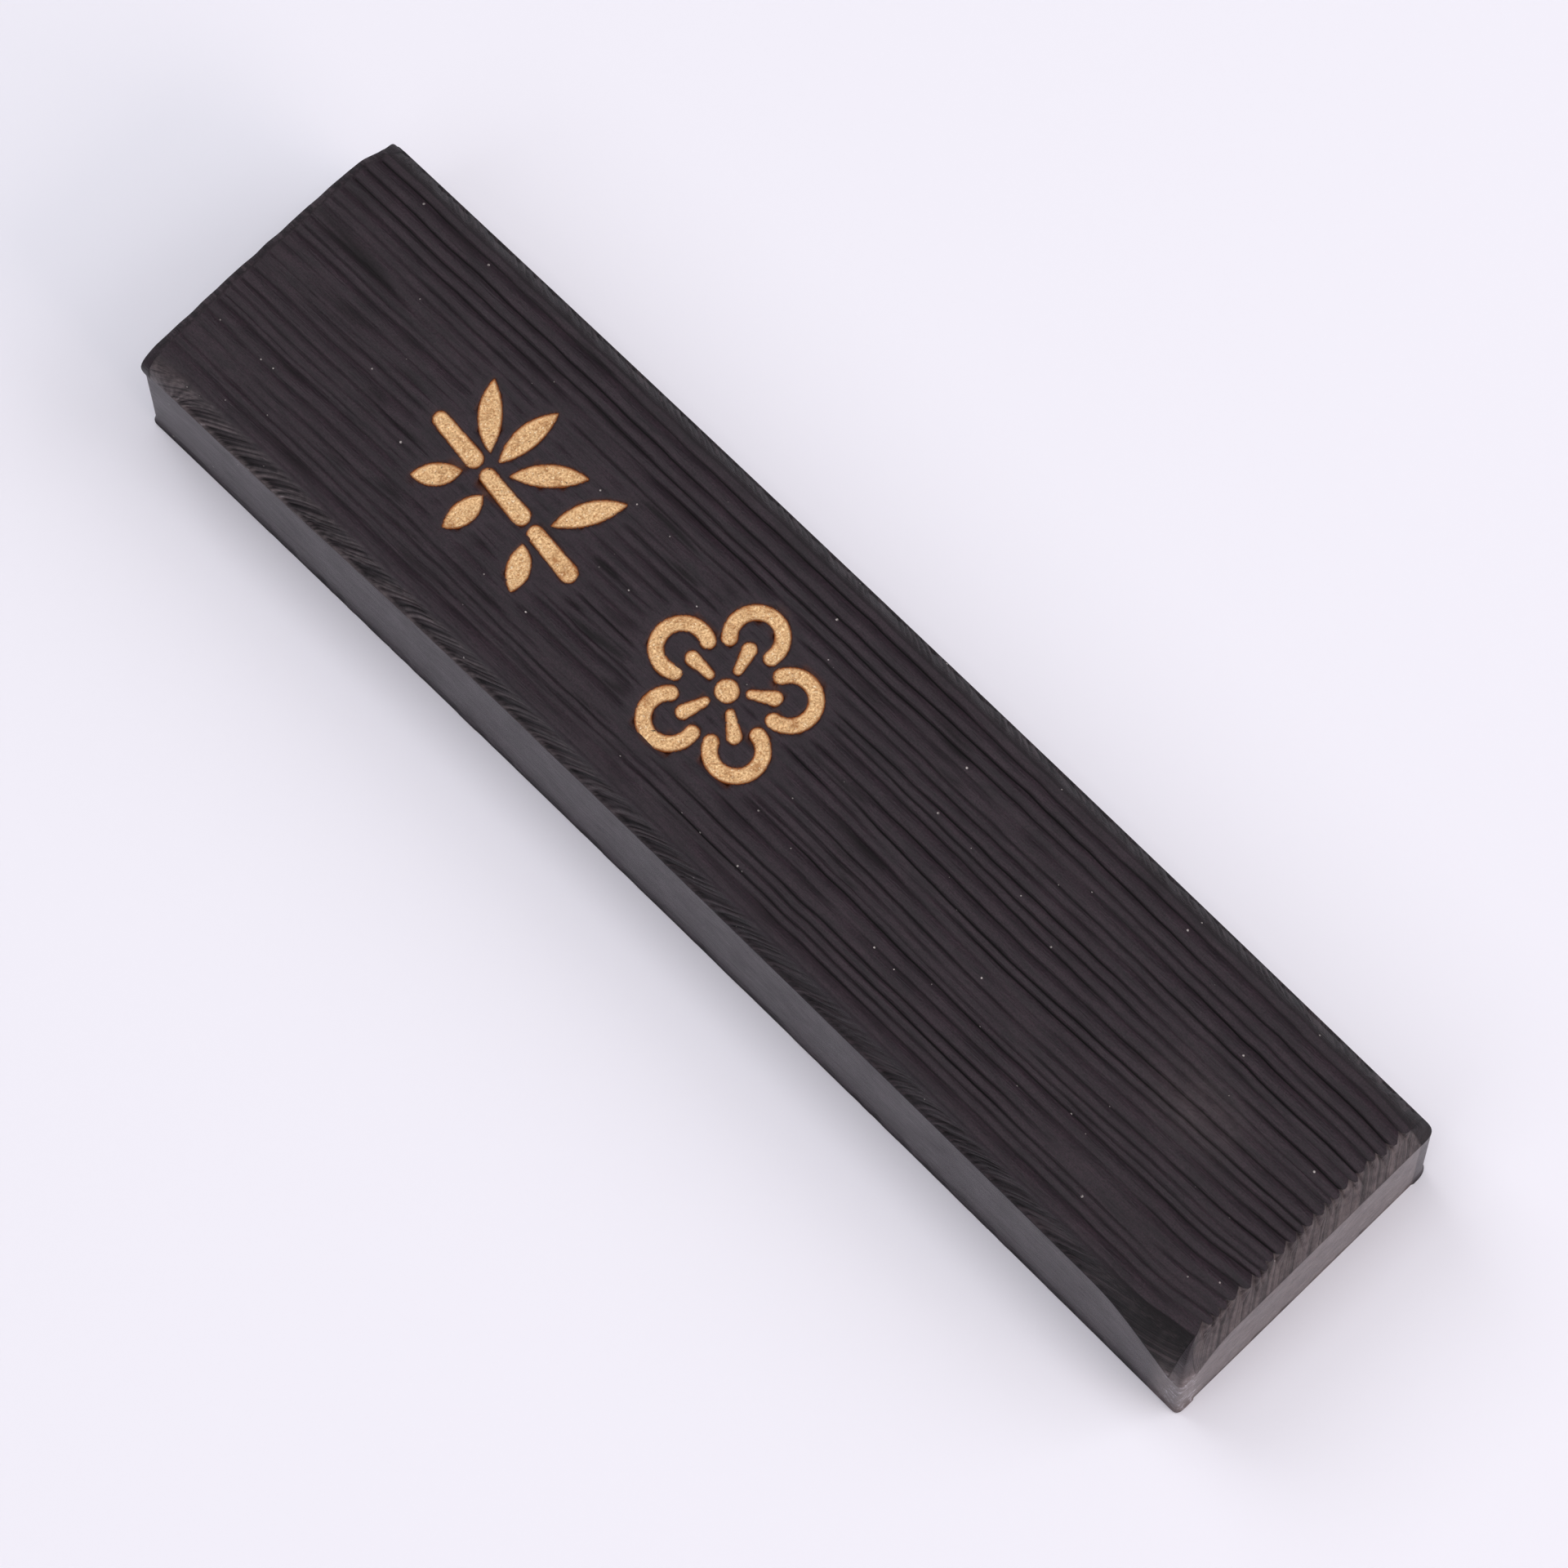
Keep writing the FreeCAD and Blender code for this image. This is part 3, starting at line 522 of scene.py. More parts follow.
def ink_cake():
    """The closed skin of the cake: a height field over the top, whose columns follow the notches;
    loops of points down the bevels, the sides and the lip; and a flat base. A loop of the bevel
    lies between the rim and the foot, pushed out by its crown and by the hatching."""
    motif_low = min(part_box(name)[0][1] for name in MARKS) / MM - 0.2
    motif_high = max(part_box(name)[1][1] for name in MARKS) / MM + 0.2
    lines_y = spaced((-RIM_Y, -RIM_Y + 0.05, 0.05), (-RIM_Y + 0.05, -RIM_Y + 0.6, 0.12),
                     (-RIM_Y + 0.6, motif_low, 0.42), (motif_low, motif_high, 0.125),
                     (motif_high, RIM_Y - 0.6, 0.36), (RIM_Y - 0.6, RIM_Y - 0.05, 0.12),
                     (RIM_Y - 0.05, RIM_Y, 0.05))
    x = top_columns(lines_y)
    y = np.broadcast_to(lines_y, x.shape)
    near_tip = NEAR_TIP * finger_tips(x, -RIM_Y, 61) * smooth_step(-y, RIM_Y - 1.4, RIM_Y)
    far_tip = FAR_TIP * finger_tips(x, RIM_Y, 62) * smooth_step(y, RIM_Y - 0.5, RIM_Y)
    y = y - near_tip + far_tip
    to_mark = distance_to_marks(x, y)
    rise, depth = top_shape(x, y, to_mark)
    points = [np.stack([x, y, TOP + rise], -1).reshape(-1, 3)]
    triangles = [grid_triangles(*x.shape)]
    stain = np.exp(-np.clip(to_mark, 0, 9) / 0.045)
    smudge = 0.16 * np.exp(-((x - 0.9) / 1.7) ** 2 - ((y + 28.5) / 2.8) ** 2)
    plain = np.zeros(x.shape)
    # The depth of the notches becomes painted shade in the top's colour.
    top_looks = (depth, stain, plain, smudge, plain, plain)
    looks = {name: [values.ravel()] for name, values in zip(LOOKS, top_looks)}
    crease = np.zeros(x.shape, int)
    crease[:, 0] = 1
    crease[-1] = 1
    creases = [crease.ravel()]

    border = ring_of(*x.shape)
    near_x = -RIM_X + (x[:, 0] - x[0, 0]) / (x[-1, 0] - x[0, 0]) * 2 * RIM_X
    far_x = -RIM_X + (x[:, -1] - x[0, -1]) / (x[-1, -1] - x[0, -1]) * 2 * RIM_X
    across, along = len(x) - 1, len(lines_y) - 1
    columns = np.concatenate([near_x[:-1], np.full(along, RIM_X), far_x[:0:-1], np.full(along, -RIM_X)])
    rows = np.concatenate([np.full(across, -RIM_Y), lines_y[:-1], np.full(across, RIM_Y), lines_y[:0:-1]])
    border_way = way_round(np.stack([columns, rows], -1))
    border_way[0] = 0.0

    anchors, outward, side = shoulder_ring(near_x, far_x, lines_y)
    way = way_round(anchors)
    way[(np.arange(len(way)) < CORNER_STEPS) & (side == NEAR_LEFT)] = 0.0
    round_trip = 4 * (RIM_X + RIM_Y)
    order = np.append(border_way, round_trip)
    rim_points = np.concatenate([points[0][border], points[0][border][:1]])

    def rim_at(place):
        """The point of the real rim at a way round it, by linear interpolation."""
        return np.stack([np.interp(place, order, rim_points[:, axis]) for axis in range(3)], -1)

    nearest = np.abs(way[:, None] - border_way[None, :])
    nearest = np.minimum(nearest, round_trip - nearest)
    previous, total = border[nearest.argmin(axis=1)], len(points[0])
    side_y = anchors[:, 1]
    on_long = (side == RIGHT) | (side == LEFT)
    run = np.where(on_long, side_y, anchors[:, 0])
    at_far = np.abs(side - FAR) < 0.6
    crowns = np.interp(side, (-0.5, 0, 0.5, 1, 1.5, 2, 2.5, 3), (0.04, 0.03, 0.1, 0.22, 0.2, 0.24, 0.2, 0.11))
    swollen = 0.45 * (side > FAR) * smooth_step(side_y, RIM_Y - 2.5, RIM_Y)
    from_worn = np.where(side == NEAR, (anchors[:, 0] + RIM_X) / 2.4, 9)
    from_worn = np.where(side == LEFT, (side_y + RIM_Y) / 3.6, from_worn)
    from_worn = np.where(side == NEAR_LEFT, 0, from_worn)
    corner_wear = np.clip(1 - from_worn * 3.2, 0, 1)
    foot_drop = WORN_DROP * np.clip(1 - from_worn, 0, 1) ** 1.7

    for part, level in [(t, None) for t in BEVEL_LOOPS] + SIDE_LOOPS:
        t = part if level is None else 1.0
        shift = strand_shift(side, side_y, t)
        moved = anchors + np.stack([np.zeros(len(anchors)), shift], -1)
        if level is None:
            relief, valley = bevel_relief(side, run, t)
            real_rim = rim_at(np.where(side == LEFT, way - shift, way + shift * (side == RIGHT)))
            rim = np.column_stack([moved, np.full(len(anchors), RIM_LEVEL)])
            foot = np.column_stack([moved + outward * BEVEL_WIDTH, FOOT - foot_drop])
            fade = np.where(on_long, (1 - t) ** 1.5, (1 - t) ** 3)[:, None]
            place = rim * (1 - t) + foot * t + (real_rim - rim) * fade
            down_side = np.clip((np.abs(place[:, 0]) - RIM_X) / BEVEL_WIDTH, 0, 1)
            far_level = real_rim[:, 2] * (1 - t) + RIM_LEVEL * t - BEVEL_RISE * down_side - FAR_DROP * t ** 2
            place[:, 2] = np.where(at_far, far_level, place[:, 2])
            swell = np.where(place[:, 0] < 0, 0.6, 0.25) * np.sin(math.pi * down_side)
            crown = (crowns + swollen) * math.sin(math.pi * t ** 0.75)
            stand = np.where(at_far, 0.3 * relief + swell, relief + crown)
            push = np.where(at_far[:, None], np.sign(anchors) * (1, 0), outward) * stand[:, None]
            place[:, :2] += push * BEVEL_RISE / BEVEL_SLOPE
            place[:, 2] += stand * BEVEL_WIDTH / BEVEL_SLOPE
            dark, rub_and_light, hatched = bevel_looks(side, side_y, valley, t)
            strand, plain = strand_line(side, moved[:, 1], t, run), 0.0
        else:
            place = side_loop(side, moved, outward, foot_drop, part, level)
            # On the sides the lip's foot is painted dark as painted contact shade, and the near end face is
            # lightened, partly for rubbing and partly as painted light from the front lamps.
            dark, rub_and_light, hatched = 0.8 * (level < 0.3), np.where(side == NEAR, 0.85, 0.0), 0.0
            strand, plain = run, 1.0
        # Lightening: the painted light and rubbing of the bevels and the near end, and the real scuffs of the
        # worn near left corner.
        wear_and_light = np.maximum(rub_and_light, 1.25 * corner_wear * t ** 4)
        for name, values in zip(LOOKS, (dark, 0.0, plain, wear_and_light, strand, hatched)):
            looks[name].append(np.broadcast_to(values, len(anchors)))
        creases.append(np.full(len(anchors), 2 if t == 1.0 and level is None else 0))
        points.append(place)
        ring = np.arange(total, total + len(anchors))
        triangles.append(band_triangles(previous, ring))
        previous, total = ring, total + len(anchors)

    base_lines = (np.linspace(-RIM_X, RIM_X, 12), np.linspace(-RIM_Y, RIM_Y, 50))
    base_x, base_y = np.meshgrid(*base_lines, indexing="ij")
    base = np.stack([base_x, base_y, np.zeros(base_x.shape)], -1).reshape(-1, 3)
    base_border = ring_of(*base_x.shape)
    gap = np.abs(points[-1][:, None, :2] - base[base_border][None, :, :2]).sum(-1)
    triangles.append(band_triangles(previous, base_border[gap.argmin(axis=1)] + total))
    triangles.append(grid_triangles(*base_x.shape)[:, ::-1] + total)
    points.append(base)
    for values in (*looks.values(), creases):
        values.append(np.zeros(len(base), values[0].dtype))
    looks = {name: np.concatenate(values) for name, values in looks.items()}
    return new_piece("ink_cake_skin", dried(np.concatenate(points)), np.concatenate(triangles), looks,
                     np.concatenate(creases))


cake = ink_cake()
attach(cake, "root")
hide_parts("ink_cake")


def linear(hex_colour):
    """An sRGB hex colour as linear RGBA."""
    channels = [int(hex_colour[i:i + 2], 16) / 255 for i in (1, 3, 5)]
    return [c / 12.92 if c <= 0.04045 else ((c + 0.055) / 1.055) ** 2.4 for c in channels] + [1.0]


def add_node(tree, kind, settings=None, output=0, **inputs):
    """A node of a kind, with its properties set; returns one of its outputs, by name or number. An
    input is named, with underscores for spaces, or numbered as in_0. A socket is linked to it, and
    anything else becomes its value."""
    node = tree.nodes.new("ShaderNode" + kind)
    for key, value in (settings or {}).items():
        setattr(node, key, value)
    for key, value in inputs.items():
        socket = node.inputs[int(key[3:])] if key.startswith("in_") else node.inputs[key.replace("_", " ")]
        if isinstance(value, bpy.types.NodeSocket):
            tree.links.new(value, socket)
        else:
            socket.default_value = value
    return node.outputs[output] if len(node.outputs) else None


def new_material(name):
    """An empty node material and its tree."""
    material = bpy.data.materials.new(name)
    material.use_nodes = True
    material.node_tree.nodes.clear()
    return material, material.node_tree


PER_MM = 1000.0     # a pattern with one cell per millimetre on Object coordinates in metres


TIMES = {"operation": "MULTIPLY"}
PLUS = {"operation": "ADD"}
COLOURS = {"data_type": "RGBA"}     # a Mix of two colours: in_0 is its factor, in_6 and in_7 the two


def pressed_ink():
    """Dried soot-and-glue ink, pressed in a wooden mould: near black with a violet-brown cast and a
    dull satin surface, since the soot leaves pores that weaken its shine and lower its IOR. It is
    sandy and finely fibred along the grain, and greyer and glossier on the plain sides, where the
    grey is partly their own smoother skin and partly a painted sheen of the bright floor. Painted
    shade makes it blacker in the notches, in the valleys of the bevels, on the right bevel and at
    the foot of the lip. The strands of the bevels are lined, with painted highlights on their striae
    and painted shade between them. It is grey-brown where it is rubbed, and where light is painted
    on the near end and on the crests of the left bevel, with white flakes where it is bruised. A
    little dust clings to it, and the paint's glue has left a brown stain beside the marks."""
    material, tree = new_material("pressed_soot_ink")
    place = add_node(tree, "TexCoord", output="Object")
    painted_shade, stain, side, wear_and_light, strand, hatched = (
        add_node(tree, "Attribute", {"attribute_name": name}, output="Fac") for name in LOOKS)

    # Sand of 0.09 mm, and fibres and dashes drawn out along the grain: the top's own colour.
    along = add_node(tree, "Mapping", Vector=place, Scale=(1.0, 0.05, 1.0))
    drawn_out = add_node(tree, "Mapping", Vector=place, Scale=(1.0, 0.16, 1.0))
    sand = add_node(tree, "TexNoise", Vector=place, Scale=PER_MM / 0.09, Detail=3.0, Roughness=0.6)
    fibres = add_node(tree, "TexNoise", Vector=along, Scale=PER_MM / 0.15, Detail=4.0, Roughness=0.6)
    dashes = add_node(tree, "TexNoise", Vector=drawn_out, Scale=PER_MM / 0.4, Detail=6.0, Roughness=0.6)
    dashes = add_node(tree, "MapRange", Value=dashes, From_Min=0.35, From_Max=0.65)
    dashes = add_node(tree, "Math", TIMES, in_0=dashes, in_1=0.5)
    dim_fibres = add_node(tree, "Math", TIMES, in_0=fibres, in_1=0.6)
    top_tone = add_node(tree, "Math", PLUS, in_0=dashes, in_1=dim_fibres)
    sparkle = add_node(tree, "MapRange", Value=sand, From_Min=0.25, From_Max=0.75, To_Min=0.2, To_Max=1.6)
    top_tone = add_node(tree, "Math", TIMES, in_0=top_tone, in_1=sparkle)
    top_colour = add_node(tree, "Mix", COLOURS, 2, in_0=top_tone, in_6=linear("#0d060c"),
                          in_7=linear("#2f2129"))

    # The sides are mottled lengthwise and pitted, and painted lighter grey than the top: partly their
    # own smoother skin and partly a painted sheen of the bright floor they mirror at a grazing angle.
    stretched = add_node(tree, "Mapping", Vector=place, Scale=(0.3, 0.3, 1.0))
    streaks = add_node(tree, "TexNoise", Vector=stretched, Scale=PER_MM / 0.4, Detail=7.0, Roughness=0.6)
    streaks = add_node(tree, "MapRange", Value=streaks, From_Min=0.27, From_Max=0.73)
    side_colour_and_sheen = add_node(tree, "Mix", COLOURS, 2, in_0=streaks, in_6=linear("#1d171b"),
                           in_7=linear("#4b4248"))
    pits = add_node(tree, "TexNoise", Vector=place, Scale=PER_MM / 0.22, Detail=2.0, Roughness=0.6)
    pits = add_node(tree, "MapRange", Value=pits, From_Min=0.70, From_Max=0.74)
    pits = add_node(tree, "Math", TIMES, in_0=pits, in_1=side)
    side_colour_and_sheen = add_node(tree, "Mix", COLOURS, 2, in_0=pits, in_6=side_colour_and_sheen, in_7=linear("#0a0709"))
    colour = add_node(tree, "Mix", COLOURS, 2, in_0=side, in_6=top_colour, in_7=side_colour_and_sheen)
    # Painted shade: the notches, the valleys of the hatching, the right bevel and the foot of the lip are
    # painted towards black, and the left bevel darker towards its near end.
    shade = add_node(tree, "Math", TIMES, in_0=painted_shade, in_1=0.85)
    colour = add_node(tree, "Mix", COLOURS, 2, in_0=shade, in_6=colour, in_7=linear("#040303"))

    # Striae of 0.22 mm run along the strands of the bevels: painted highlights on their tops, and painted
    # shade, near black, between them.
    flow = add_node(tree, "CombineXYZ", X=strand, Y=hatched)
    striae = add_node(tree, "TexNoise", Vector=flow, Scale=1 / 0.22, Detail=4.0, Roughness=0.7)
    line = add_node(tree, "MapRange", Value=striae, From_Min=0.48, From_Max=0.66)
    line = add_node(tree, "Math", TIMES, in_0=hatched, in_1=line)
    line = add_node(tree, "Math", TIMES, in_0=line, in_1=0.5)
    colour = add_node(tree, "Mix", COLOURS, 2, in_0=line, in_6=colour, in_7=linear("#4c4144"))

    # A grey-brown haze in patches stands for rubbing, and on the near end and the crests of the left bevel
    # also for painted light; white flakes show where it is strongest.
    haze_and_light = add_node(tree, "TexNoise", Vector=place, Scale=PER_MM / 0.5, Detail=6.0, Roughness=0.6)
    haze_and_light = add_node(tree, "MapRange", Value=haze_and_light, From_Min=0.35, From_Max=0.65, To_Min=0.45, To_Max=1.35)
    rub_and_light = add_node(tree, "Math", TIMES, in_0=wear_and_light, in_1=haze_and_light)
    haze_and_light = add_node(tree, "MapRange", Value=rub_and_light, From_Min=0.0, From_Max=1.0)
    colour = add_node(tree, "Mix", COLOURS, 2, in_0=haze_and_light, in_6=colour, in_7=linear("#665c5c"))
    strongest = add_node(tree, "MapRange", Value=rub_and_light, From_Min=1.0, From_Max=1.6)
    flakes = add_node(tree, "TexNoise", Vector=place, Scale=PER_MM / 0.22, Detail=4.0, Roughness=0.6)
    flakes = add_node(tree, "MapRange", Value=flakes, From_Min=0.48, From_Max=0.62)
    flakes = add_node(tree, "Math", TIMES, in_0=strongest, in_1=flakes)
    colour = add_node(tree, "Mix", COLOURS, 2, in_0=flakes, in_6=colour, in_7=linear("#b5b2ba"))
    # Painted shade between the striae.
    gap = add_node(tree, "MapRange", Value=striae, From_Min=0.56, From_Max=0.38)
    gap = add_node(tree, "Math", TIMES, in_0=hatched, in_1=gap)
    gap = add_node(tree, "Math", TIMES, in_0=gap, in_1=0.7)
    colour = add_node(tree, "Mix", COLOURS, 2, in_0=gap, in_6=colour, in_7=linear("#0a0709"))
    stain = add_node(tree, "Math", TIMES, in_0=stain, in_1=0.5)
    colour = add_node(tree, "Mix", COLOURS, 2, in_0=stain, in_6=colour, in_7=linear("#6b3a1c"))

    # Dust: a speck of up to 0.13 mm in each cell of 0.9 mm, except in nearly half of them.
    dust = add_node(tree, "TexVoronoi", Vector=place, Scale=PER_MM / 0.9)
    chance = add_node(tree, "SeparateColor", Color=dust.node.outputs["Color"])
    size = add_node(tree, "MapRange", Value=chance, From_Min=0.45, From_Max=1.0, To_Min=0.0, To_Max=0.075)
    speck = add_node(tree, "Math", {"operation": "LESS_THAN"}, in_0=dust, in_1=size)
    opacity = add_node(tree, "MapRange", Value=sand, From_Min=0.35, From_Max=0.6, To_Min=0.1, To_Max=0.9)
    speck = add_node(tree, "Math", TIMES, in_0=speck, in_1=opacity)
    colour = add_node(tree, "Mix", COLOURS, 2, in_0=speck, in_6=colour, in_7=linear("#c4bdb8"))

    # Relief in units of 0.04 mm: sand, fibres and scratches, smoothed where it is rubbed, and striae.
    scratches = add_node(tree, "TexNoise", Vector=along, Scale=PER_MM / 0.05, Detail=3.0, Roughness=0.6)
    scratches = add_node(tree, "Math", TIMES, in_0=scratches, in_1=0.5)
    lines = add_node(tree, "Math", PLUS, in_0=fibres, in_1=scratches)
    unrubbed = add_node(tree, "MapRange", Value=wear_and_light, From_Min=0.2, From_Max=1.0, To_Min=1.0, To_Max=0.2)
    lines = add_node(tree, "Math", TIMES, in_0=lines, in_1=unrubbed)
    grit = add_node(tree, "Math", TIMES, in_0=sand, in_1=0.8)
    relief = add_node(tree, "Math", PLUS, in_0=grit, in_1=lines)
    ridges = add_node(tree, "Math", TIMES, in_0=hatched, in_1=striae)
    ridges = add_node(tree, "Math", TIMES, in_0=ridges, in_1=2.5)
    relief = add_node(tree, "Math", PLUS, in_0=relief, in_1=ridges)
    bump = add_node(tree, "Bump", Strength=1.0, Distance=0.04 * MM, Height=relief)

    # Roughness goes in patches, and is lower on the sides and higher in the notches.
    patches = add_node(tree, "TexNoise", Vector=place, Scale=PER_MM / 2.8, Detail=5.0, Roughness=0.6)
    roughness = add_node(tree, "MapRange", Value=patches, From_Min=0.3, From_Max=0.7, To_Min=0.42,
                         To_Max=0.52)
    gloss = add_node(tree, "Math", TIMES, in_0=side, in_1=-0.08)
    roughness = add_node(tree, "Math", PLUS, in_0=roughness, in_1=gloss)
    dull = add_node(tree, "Math", TIMES, in_0=painted_shade, in_1=0.35)
    roughness = add_node(tree, "Math", PLUS, in_0=roughness, in_1=dull)
    shader = add_node(tree, "BsdfPrincipled", Base_Color=colour, Roughness=roughness, Normal=bump, IOR=1.39)
    add_node(tree, "OutputMaterial", Surface=shader)
    return material


cake.data.materials.append(pressed_ink())

# ---------------------------------------------------------------- the gold paint
# Bronze powder in thin glue, brushed into the pockets by hand once the cake was dry. Each
# deposit is a hard crust that climbs its pocket's wall a little, grainy on top, and browner at
# the rim, partly where it is thin and partly as painted shade from the pocket's wall.

PAINT_CELL = 0.05       # spacing of a deposit's surface points, mm
WALL_OVERLAP = 0.05     # the crust reaches this far into the pocket's wall, mm


def paint_height(x, y, inside):
    """Top of a deposit, in millimetres: level in the middle, climbing by 0.06 exp(-inside / 0.06)
    at its rim, with brush ripples and grains of powder. inside is the distance from the wall."""
    climb = 0.06 * np.exp(-np.clip(inside, 0, 9) / 0.06)
    ripples = 0.02 * soft_noise(41, x / 0.45 + 90, y / 0.3 + 90)
    grains = 0.014 * soft_noise(42, x / 0.11 + 200, y / 0.11 + 200)
    return PAINT_TOP + climb + ripples + grains


def paint_deposit(name):
    """A closed crust in a mark's outline: the cells of a plan grid that lie within it, its border
    drawn onto the outline, with a wall down to the pocket's floor and a flat underside."""
    segments = OUTLINES[name]
    low, high = segments.min(axis=(0, 1)) - 0.2, segments.max(axis=(0, 1)) + 0.2
    lines = [np.arange(low[i], high[i], PAINT_CELL) for i in (0, 1)]
    x, y = np.meshgrid(*lines, indexing="ij")
    gap = distance_to_outline(x, y, segments) - WALL_OVERLAP
    kept = (gap[:-1, :-1] + gap[1:, :-1] + gap[1:, 1:] + gap[:-1, 1:]) < 0
    touched = np.zeros(x.shape, int)
    for i, j in itertools.product((0, 1), repeat=2):
        touched[i:i + kept.shape[0], j:j + kept.shape[1]] += kept
    slope_x, slope_y = np.gradient(gap, PAINT_CELL)
    length = np.maximum(np.hypot(slope_x, slope_y), 0.3)
    border = (touched > 0) & (touched < 4)
    pull = np.where(border, gap, 0)
    x, y = x - pull * slope_x / length, y - pull * slope_y / length
    inside = np.where(border, 0, -gap)
    used = touched > 0
    number = np.full(x.shape, -1)
    number[used] = np.arange(used.sum())
    upper = np.stack([x, y, paint_height(x, y, inside)], -1)[used]
    lower = np.stack([x, y, np.full(x.shape, POCKET_FLOOR)], -1)[used]
    a, b = number[:-1, :-1][kept], number[1:, :-1][kept]
    c, d = number[1:, 1:][kept], number[:-1, 1:][kept]
    top = np.concatenate([np.stack([a, b, c], -1), np.stack([a, c, d], -1)])
    edges = np.concatenate([np.stack(pair, -1) for pair in ((a, b), (b, c), (c, d), (d, a))])
    keys = edges.min(axis=1) * len(upper) + edges.max(axis=1)
    _, first, counts = np.unique(keys, return_index=True, return_counts=True)
    rim = edges[first[counts == 1]]
    below = rim + len(upper)
    wall = np.concatenate([np.stack([rim[:, 1], rim[:, 0], below[:, 0]], -1),
                           np.stack([rim[:, 1], below[:, 0], below[:, 1]], -1)])
    edge = np.concatenate([np.clip(inside[used], 0, 1), np.zeros(len(lower))])
    return new_piece(name + "_paint", np.concatenate([upper, lower]),
                     np.concatenate([top, top[:, ::-1] + len(upper), wall]), {"edge": edge})


def bronze_paint():
    """Bronze-powder paint: grains of pale and of dull brown gold side by side, some of them painted
    near white as painted glints, which turn to a dark brown skin at the rim, partly thin paint and
    partly painted shade from the pocket's wall, with black pinholes where the ink shows through. The
    glue keeps it from shining like solid metal."""
    material, tree = new_material("bronze_powder_paint")
    place = add_node(tree, "TexCoord", output="Object")
    edge = add_node(tree, "Attribute", {"attribute_name": "edge"}, output="Fac")
    grains = add_node(tree, "TexNoise", Vector=place, Scale=PER_MM / 0.12, Detail=3.0, Roughness=0.65)
    grains = add_node(tree, "MapRange", Value=grains, From_Min=0.30, From_Max=0.66)
    gold = add_node(tree, "Mix", COLOURS, 2, in_0=grains, in_6=linear("#b87f4b"), in_7=linear("#ffdda8"))
    dull = add_node(tree, "TexNoise", Vector=place, Scale=PER_MM / 0.7, Detail=4.0, Roughness=0.65)
    dull = add_node(tree, "MapRange", Value=dull, From_Min=0.52, From_Max=0.76)
    gold = add_node(tree, "Mix", COLOURS, 2, in_0=dull, in_6=gold, in_7=linear("#a8703e"))
    # Painted glints: some grains are painted near white.
    painted_glints = add_node(tree, "TexNoise", Vector=place, Scale=PER_MM / 0.13, Detail=2.0, Roughness=0.65)
    painted_glints = add_node(tree, "MapRange", Value=painted_glints, From_Min=0.64, From_Max=0.72)
    gold = add_node(tree, "Mix", COLOURS, 2, in_0=painted_glints, in_6=gold, in_7=linear("#fff0cf"))
    # The brown rim is partly the thin paint there and partly painted shade from the pocket's wall.
    uneven = add_node(tree, "Math", TIMES, in_0=grains, in_1=0.07)
    thin = add_node(tree, "Math", {"operation": "SUBTRACT"}, in_0=edge, in_1=uneven)
    rim = add_node(tree, "MapRange", Value=thin, From_Min=-0.02, From_Max=0.11, To_Min=1.0, To_Max=0.0)
    gold = add_node(tree, "Mix", COLOURS, 2, in_0=rim, in_6=gold, in_7=linear("#86481f"))
    pinholes = add_node(tree, "TexNoise", Vector=place, Scale=PER_MM / 0.30, Detail=3.0, Roughness=0.65)
    pinholes = add_node(tree, "MapRange", Value=pinholes, From_Min=0.68, From_Max=0.73)
    gold = add_node(tree, "Mix", COLOURS, 2, in_0=pinholes, in_6=gold, in_7=linear("#2a1c16"))
    bump = add_node(tree, "Bump", Strength=1.0, Distance=0.03 * MM, Height=grains)
    shader = add_node(tree, "BsdfPrincipled", Base_Color=gold, Metallic=0.8, Roughness=0.45, Normal=bump)
    add_node(tree, "OutputMaterial", Surface=shader)
    return material


gold_paint = bronze_paint()
for mark_name in MARKS:
    deposit = paint_deposit(mark_name)
    deposit.data.materials.append(gold_paint)
    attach(deposit, "root")
    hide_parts(mark_name)

# ---------------------------------------------------- the studio: floor, lights, camera
# A sheet of white paper under five soft boxes: a broad one overhead, one behind, and others
# to the front right, low in front and at the left, which is the weakest.


def floor_sheet():
    """A flat square of white paper, in millimetres: four corners at z = 0, half a width from the
    middle."""
    half = 600.0
    points = np.array([[-half, -half, 0], [half, -half, 0], [half, half, 0], [-half, half, 0]])
    sheet = new_piece("floor", points, np.array([[0, 1, 2], [0, 2, 3]]))
    material, tree = new_material("white_paper")
    shader = add_node(tree, "BsdfPrincipled", Base_Color=linear("#f0f0f6"), Roughness=0.9,
                      Specular_IOR_Level=0.1)
    add_node(tree, "OutputMaterial", Surface=shader)
    sheet.data.materials.append(material)
    return sheet


floor_sheet()


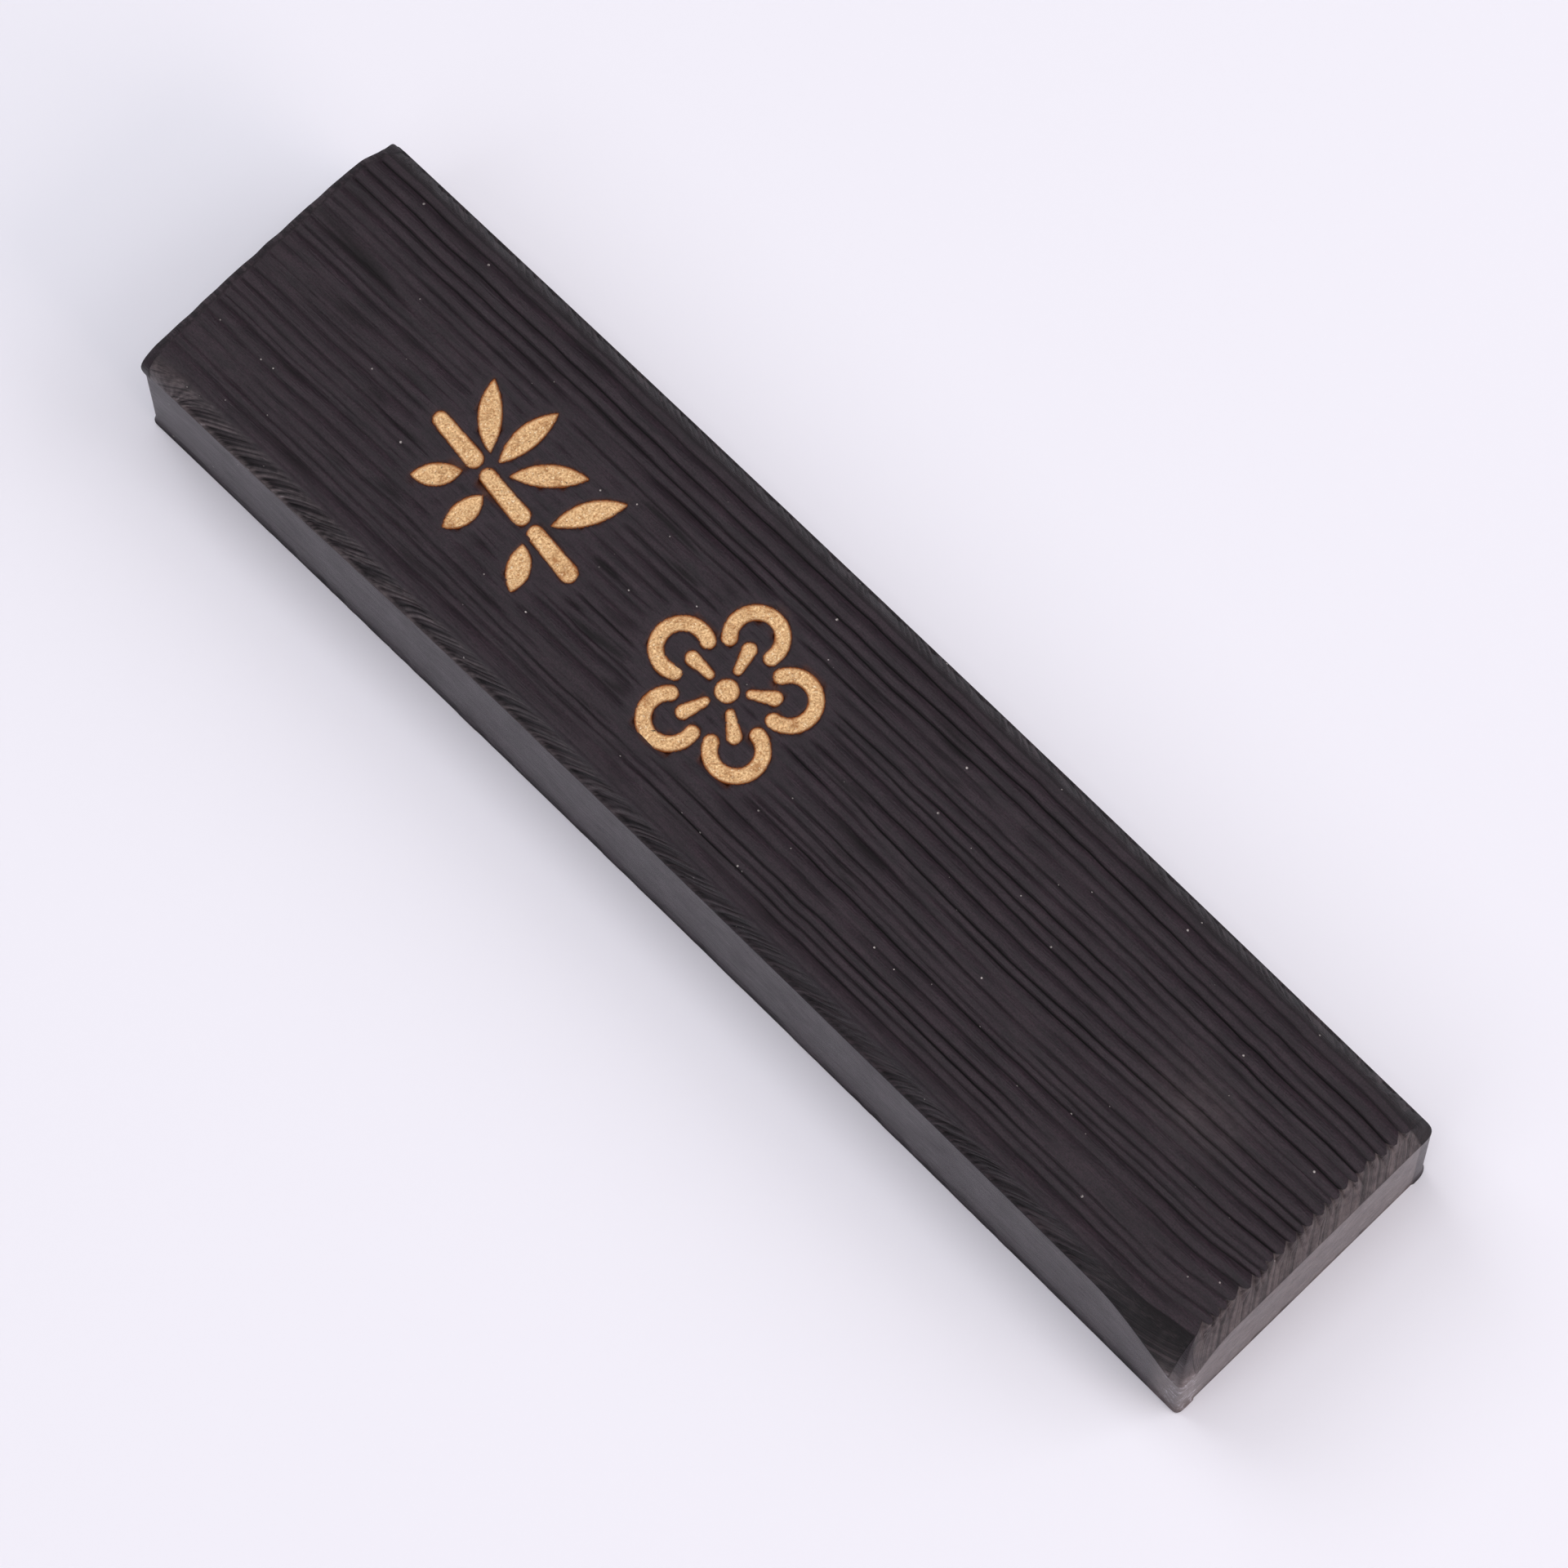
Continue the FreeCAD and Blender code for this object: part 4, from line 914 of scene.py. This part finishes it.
def soft_light(name, position, size, power, colour):
    """A square area light of a size in metres, turned towards the middle of the stick."""
    lamp = bpy.data.lights.new(name, "AREA")
    lamp.shape = "SQUARE"
    lamp.size = size
    lamp.energy = power
    lamp.color = linear(colour)[:3]
    light = bpy.data.objects.new(name, lamp)
    back = np.array(position) / np.linalg.norm(position)
    across = np.cross([0, 0, 1], back)
    across /= np.linalg.norm(across)
    turn = np.stack([across, np.cross(back, across), back], -1)
    light.matrix_world = Matrix.Translation(position) @ Matrix(turn.tolist()).to_4x4()
    bpy.context.scene.collection.objects.link(light)


soft_light("overhead_softbox", (0.03, 0.0, 0.9), 0.7, 2.8, "#fbfbff")
soft_light("front_right_softbox", (0.5, -0.5, 0.55), 0.6, 2.3, "#fdfbff")
soft_light("front_low_softbox", (0.1, -0.8, 0.3), 0.5, 3.0, "#ffeee8")
soft_light("back_softbox", (0.0, 0.65, 0.75), 0.6, 2.8, "#fdfbff")
soft_light("left_softbox", (-0.65, 0.0, 0.75), 0.6, 1.45, "#fdfbff")

world = bpy.data.worlds.new("studio")
world.use_nodes = True
background = world.node_tree.nodes["Background"]
background.inputs["Color"].default_value = linear("#f8f4ff")
background.inputs["Strength"].default_value = 0.2
bpy.context.scene.world = world
bpy.context.scene.view_settings.view_transform = "Standard"

# The camera stands 0.39 m off, steeply above the stick's near left. It is aimed a little off the
# stick's middle; its distance and this offset are in lengths of the stick.
AZIMUTH = math.radians(-42.93)
ELEVATION = math.radians(71.75)
ROLL = math.radians(-1.735)
STICK = cake_high[1] * 2 * MM - 2 * LIP_PROUD * MM
DISTANCE = 5.1778
OFFSET_RIGHT = 0.0014
OFFSET_UP = 0.0029
LENS = 173.8
camera_data = bpy.data.cameras.new("camera")
camera_data.sensor_width = 36.0
camera_data.lens = LENS
camera = bpy.data.objects.new("camera", camera_data)
back = np.array([math.sin(AZIMUTH) * math.cos(ELEVATION), -math.cos(AZIMUTH) * math.cos(ELEVATION),
                 math.sin(ELEVATION)])
right = np.cross(-back, [0, 0, 1])
right /= np.linalg.norm(right)
up = np.cross(right, -back)
rolled_right = math.cos(ROLL) * right + math.sin(ROLL) * up
rolled_up = -math.sin(ROLL) * right + math.cos(ROLL) * up
place = (OFFSET_RIGHT * rolled_right + OFFSET_UP * rolled_up + DISTANCE * back) * STICK
turn = np.stack([rolled_right, rolled_up, back], -1)
camera.matrix_world = Matrix.Translation(place.tolist()) @ Matrix(turn.tolist()).to_4x4()
bpy.context.scene.collection.objects.link(camera)
bpy.context.scene.camera = camera
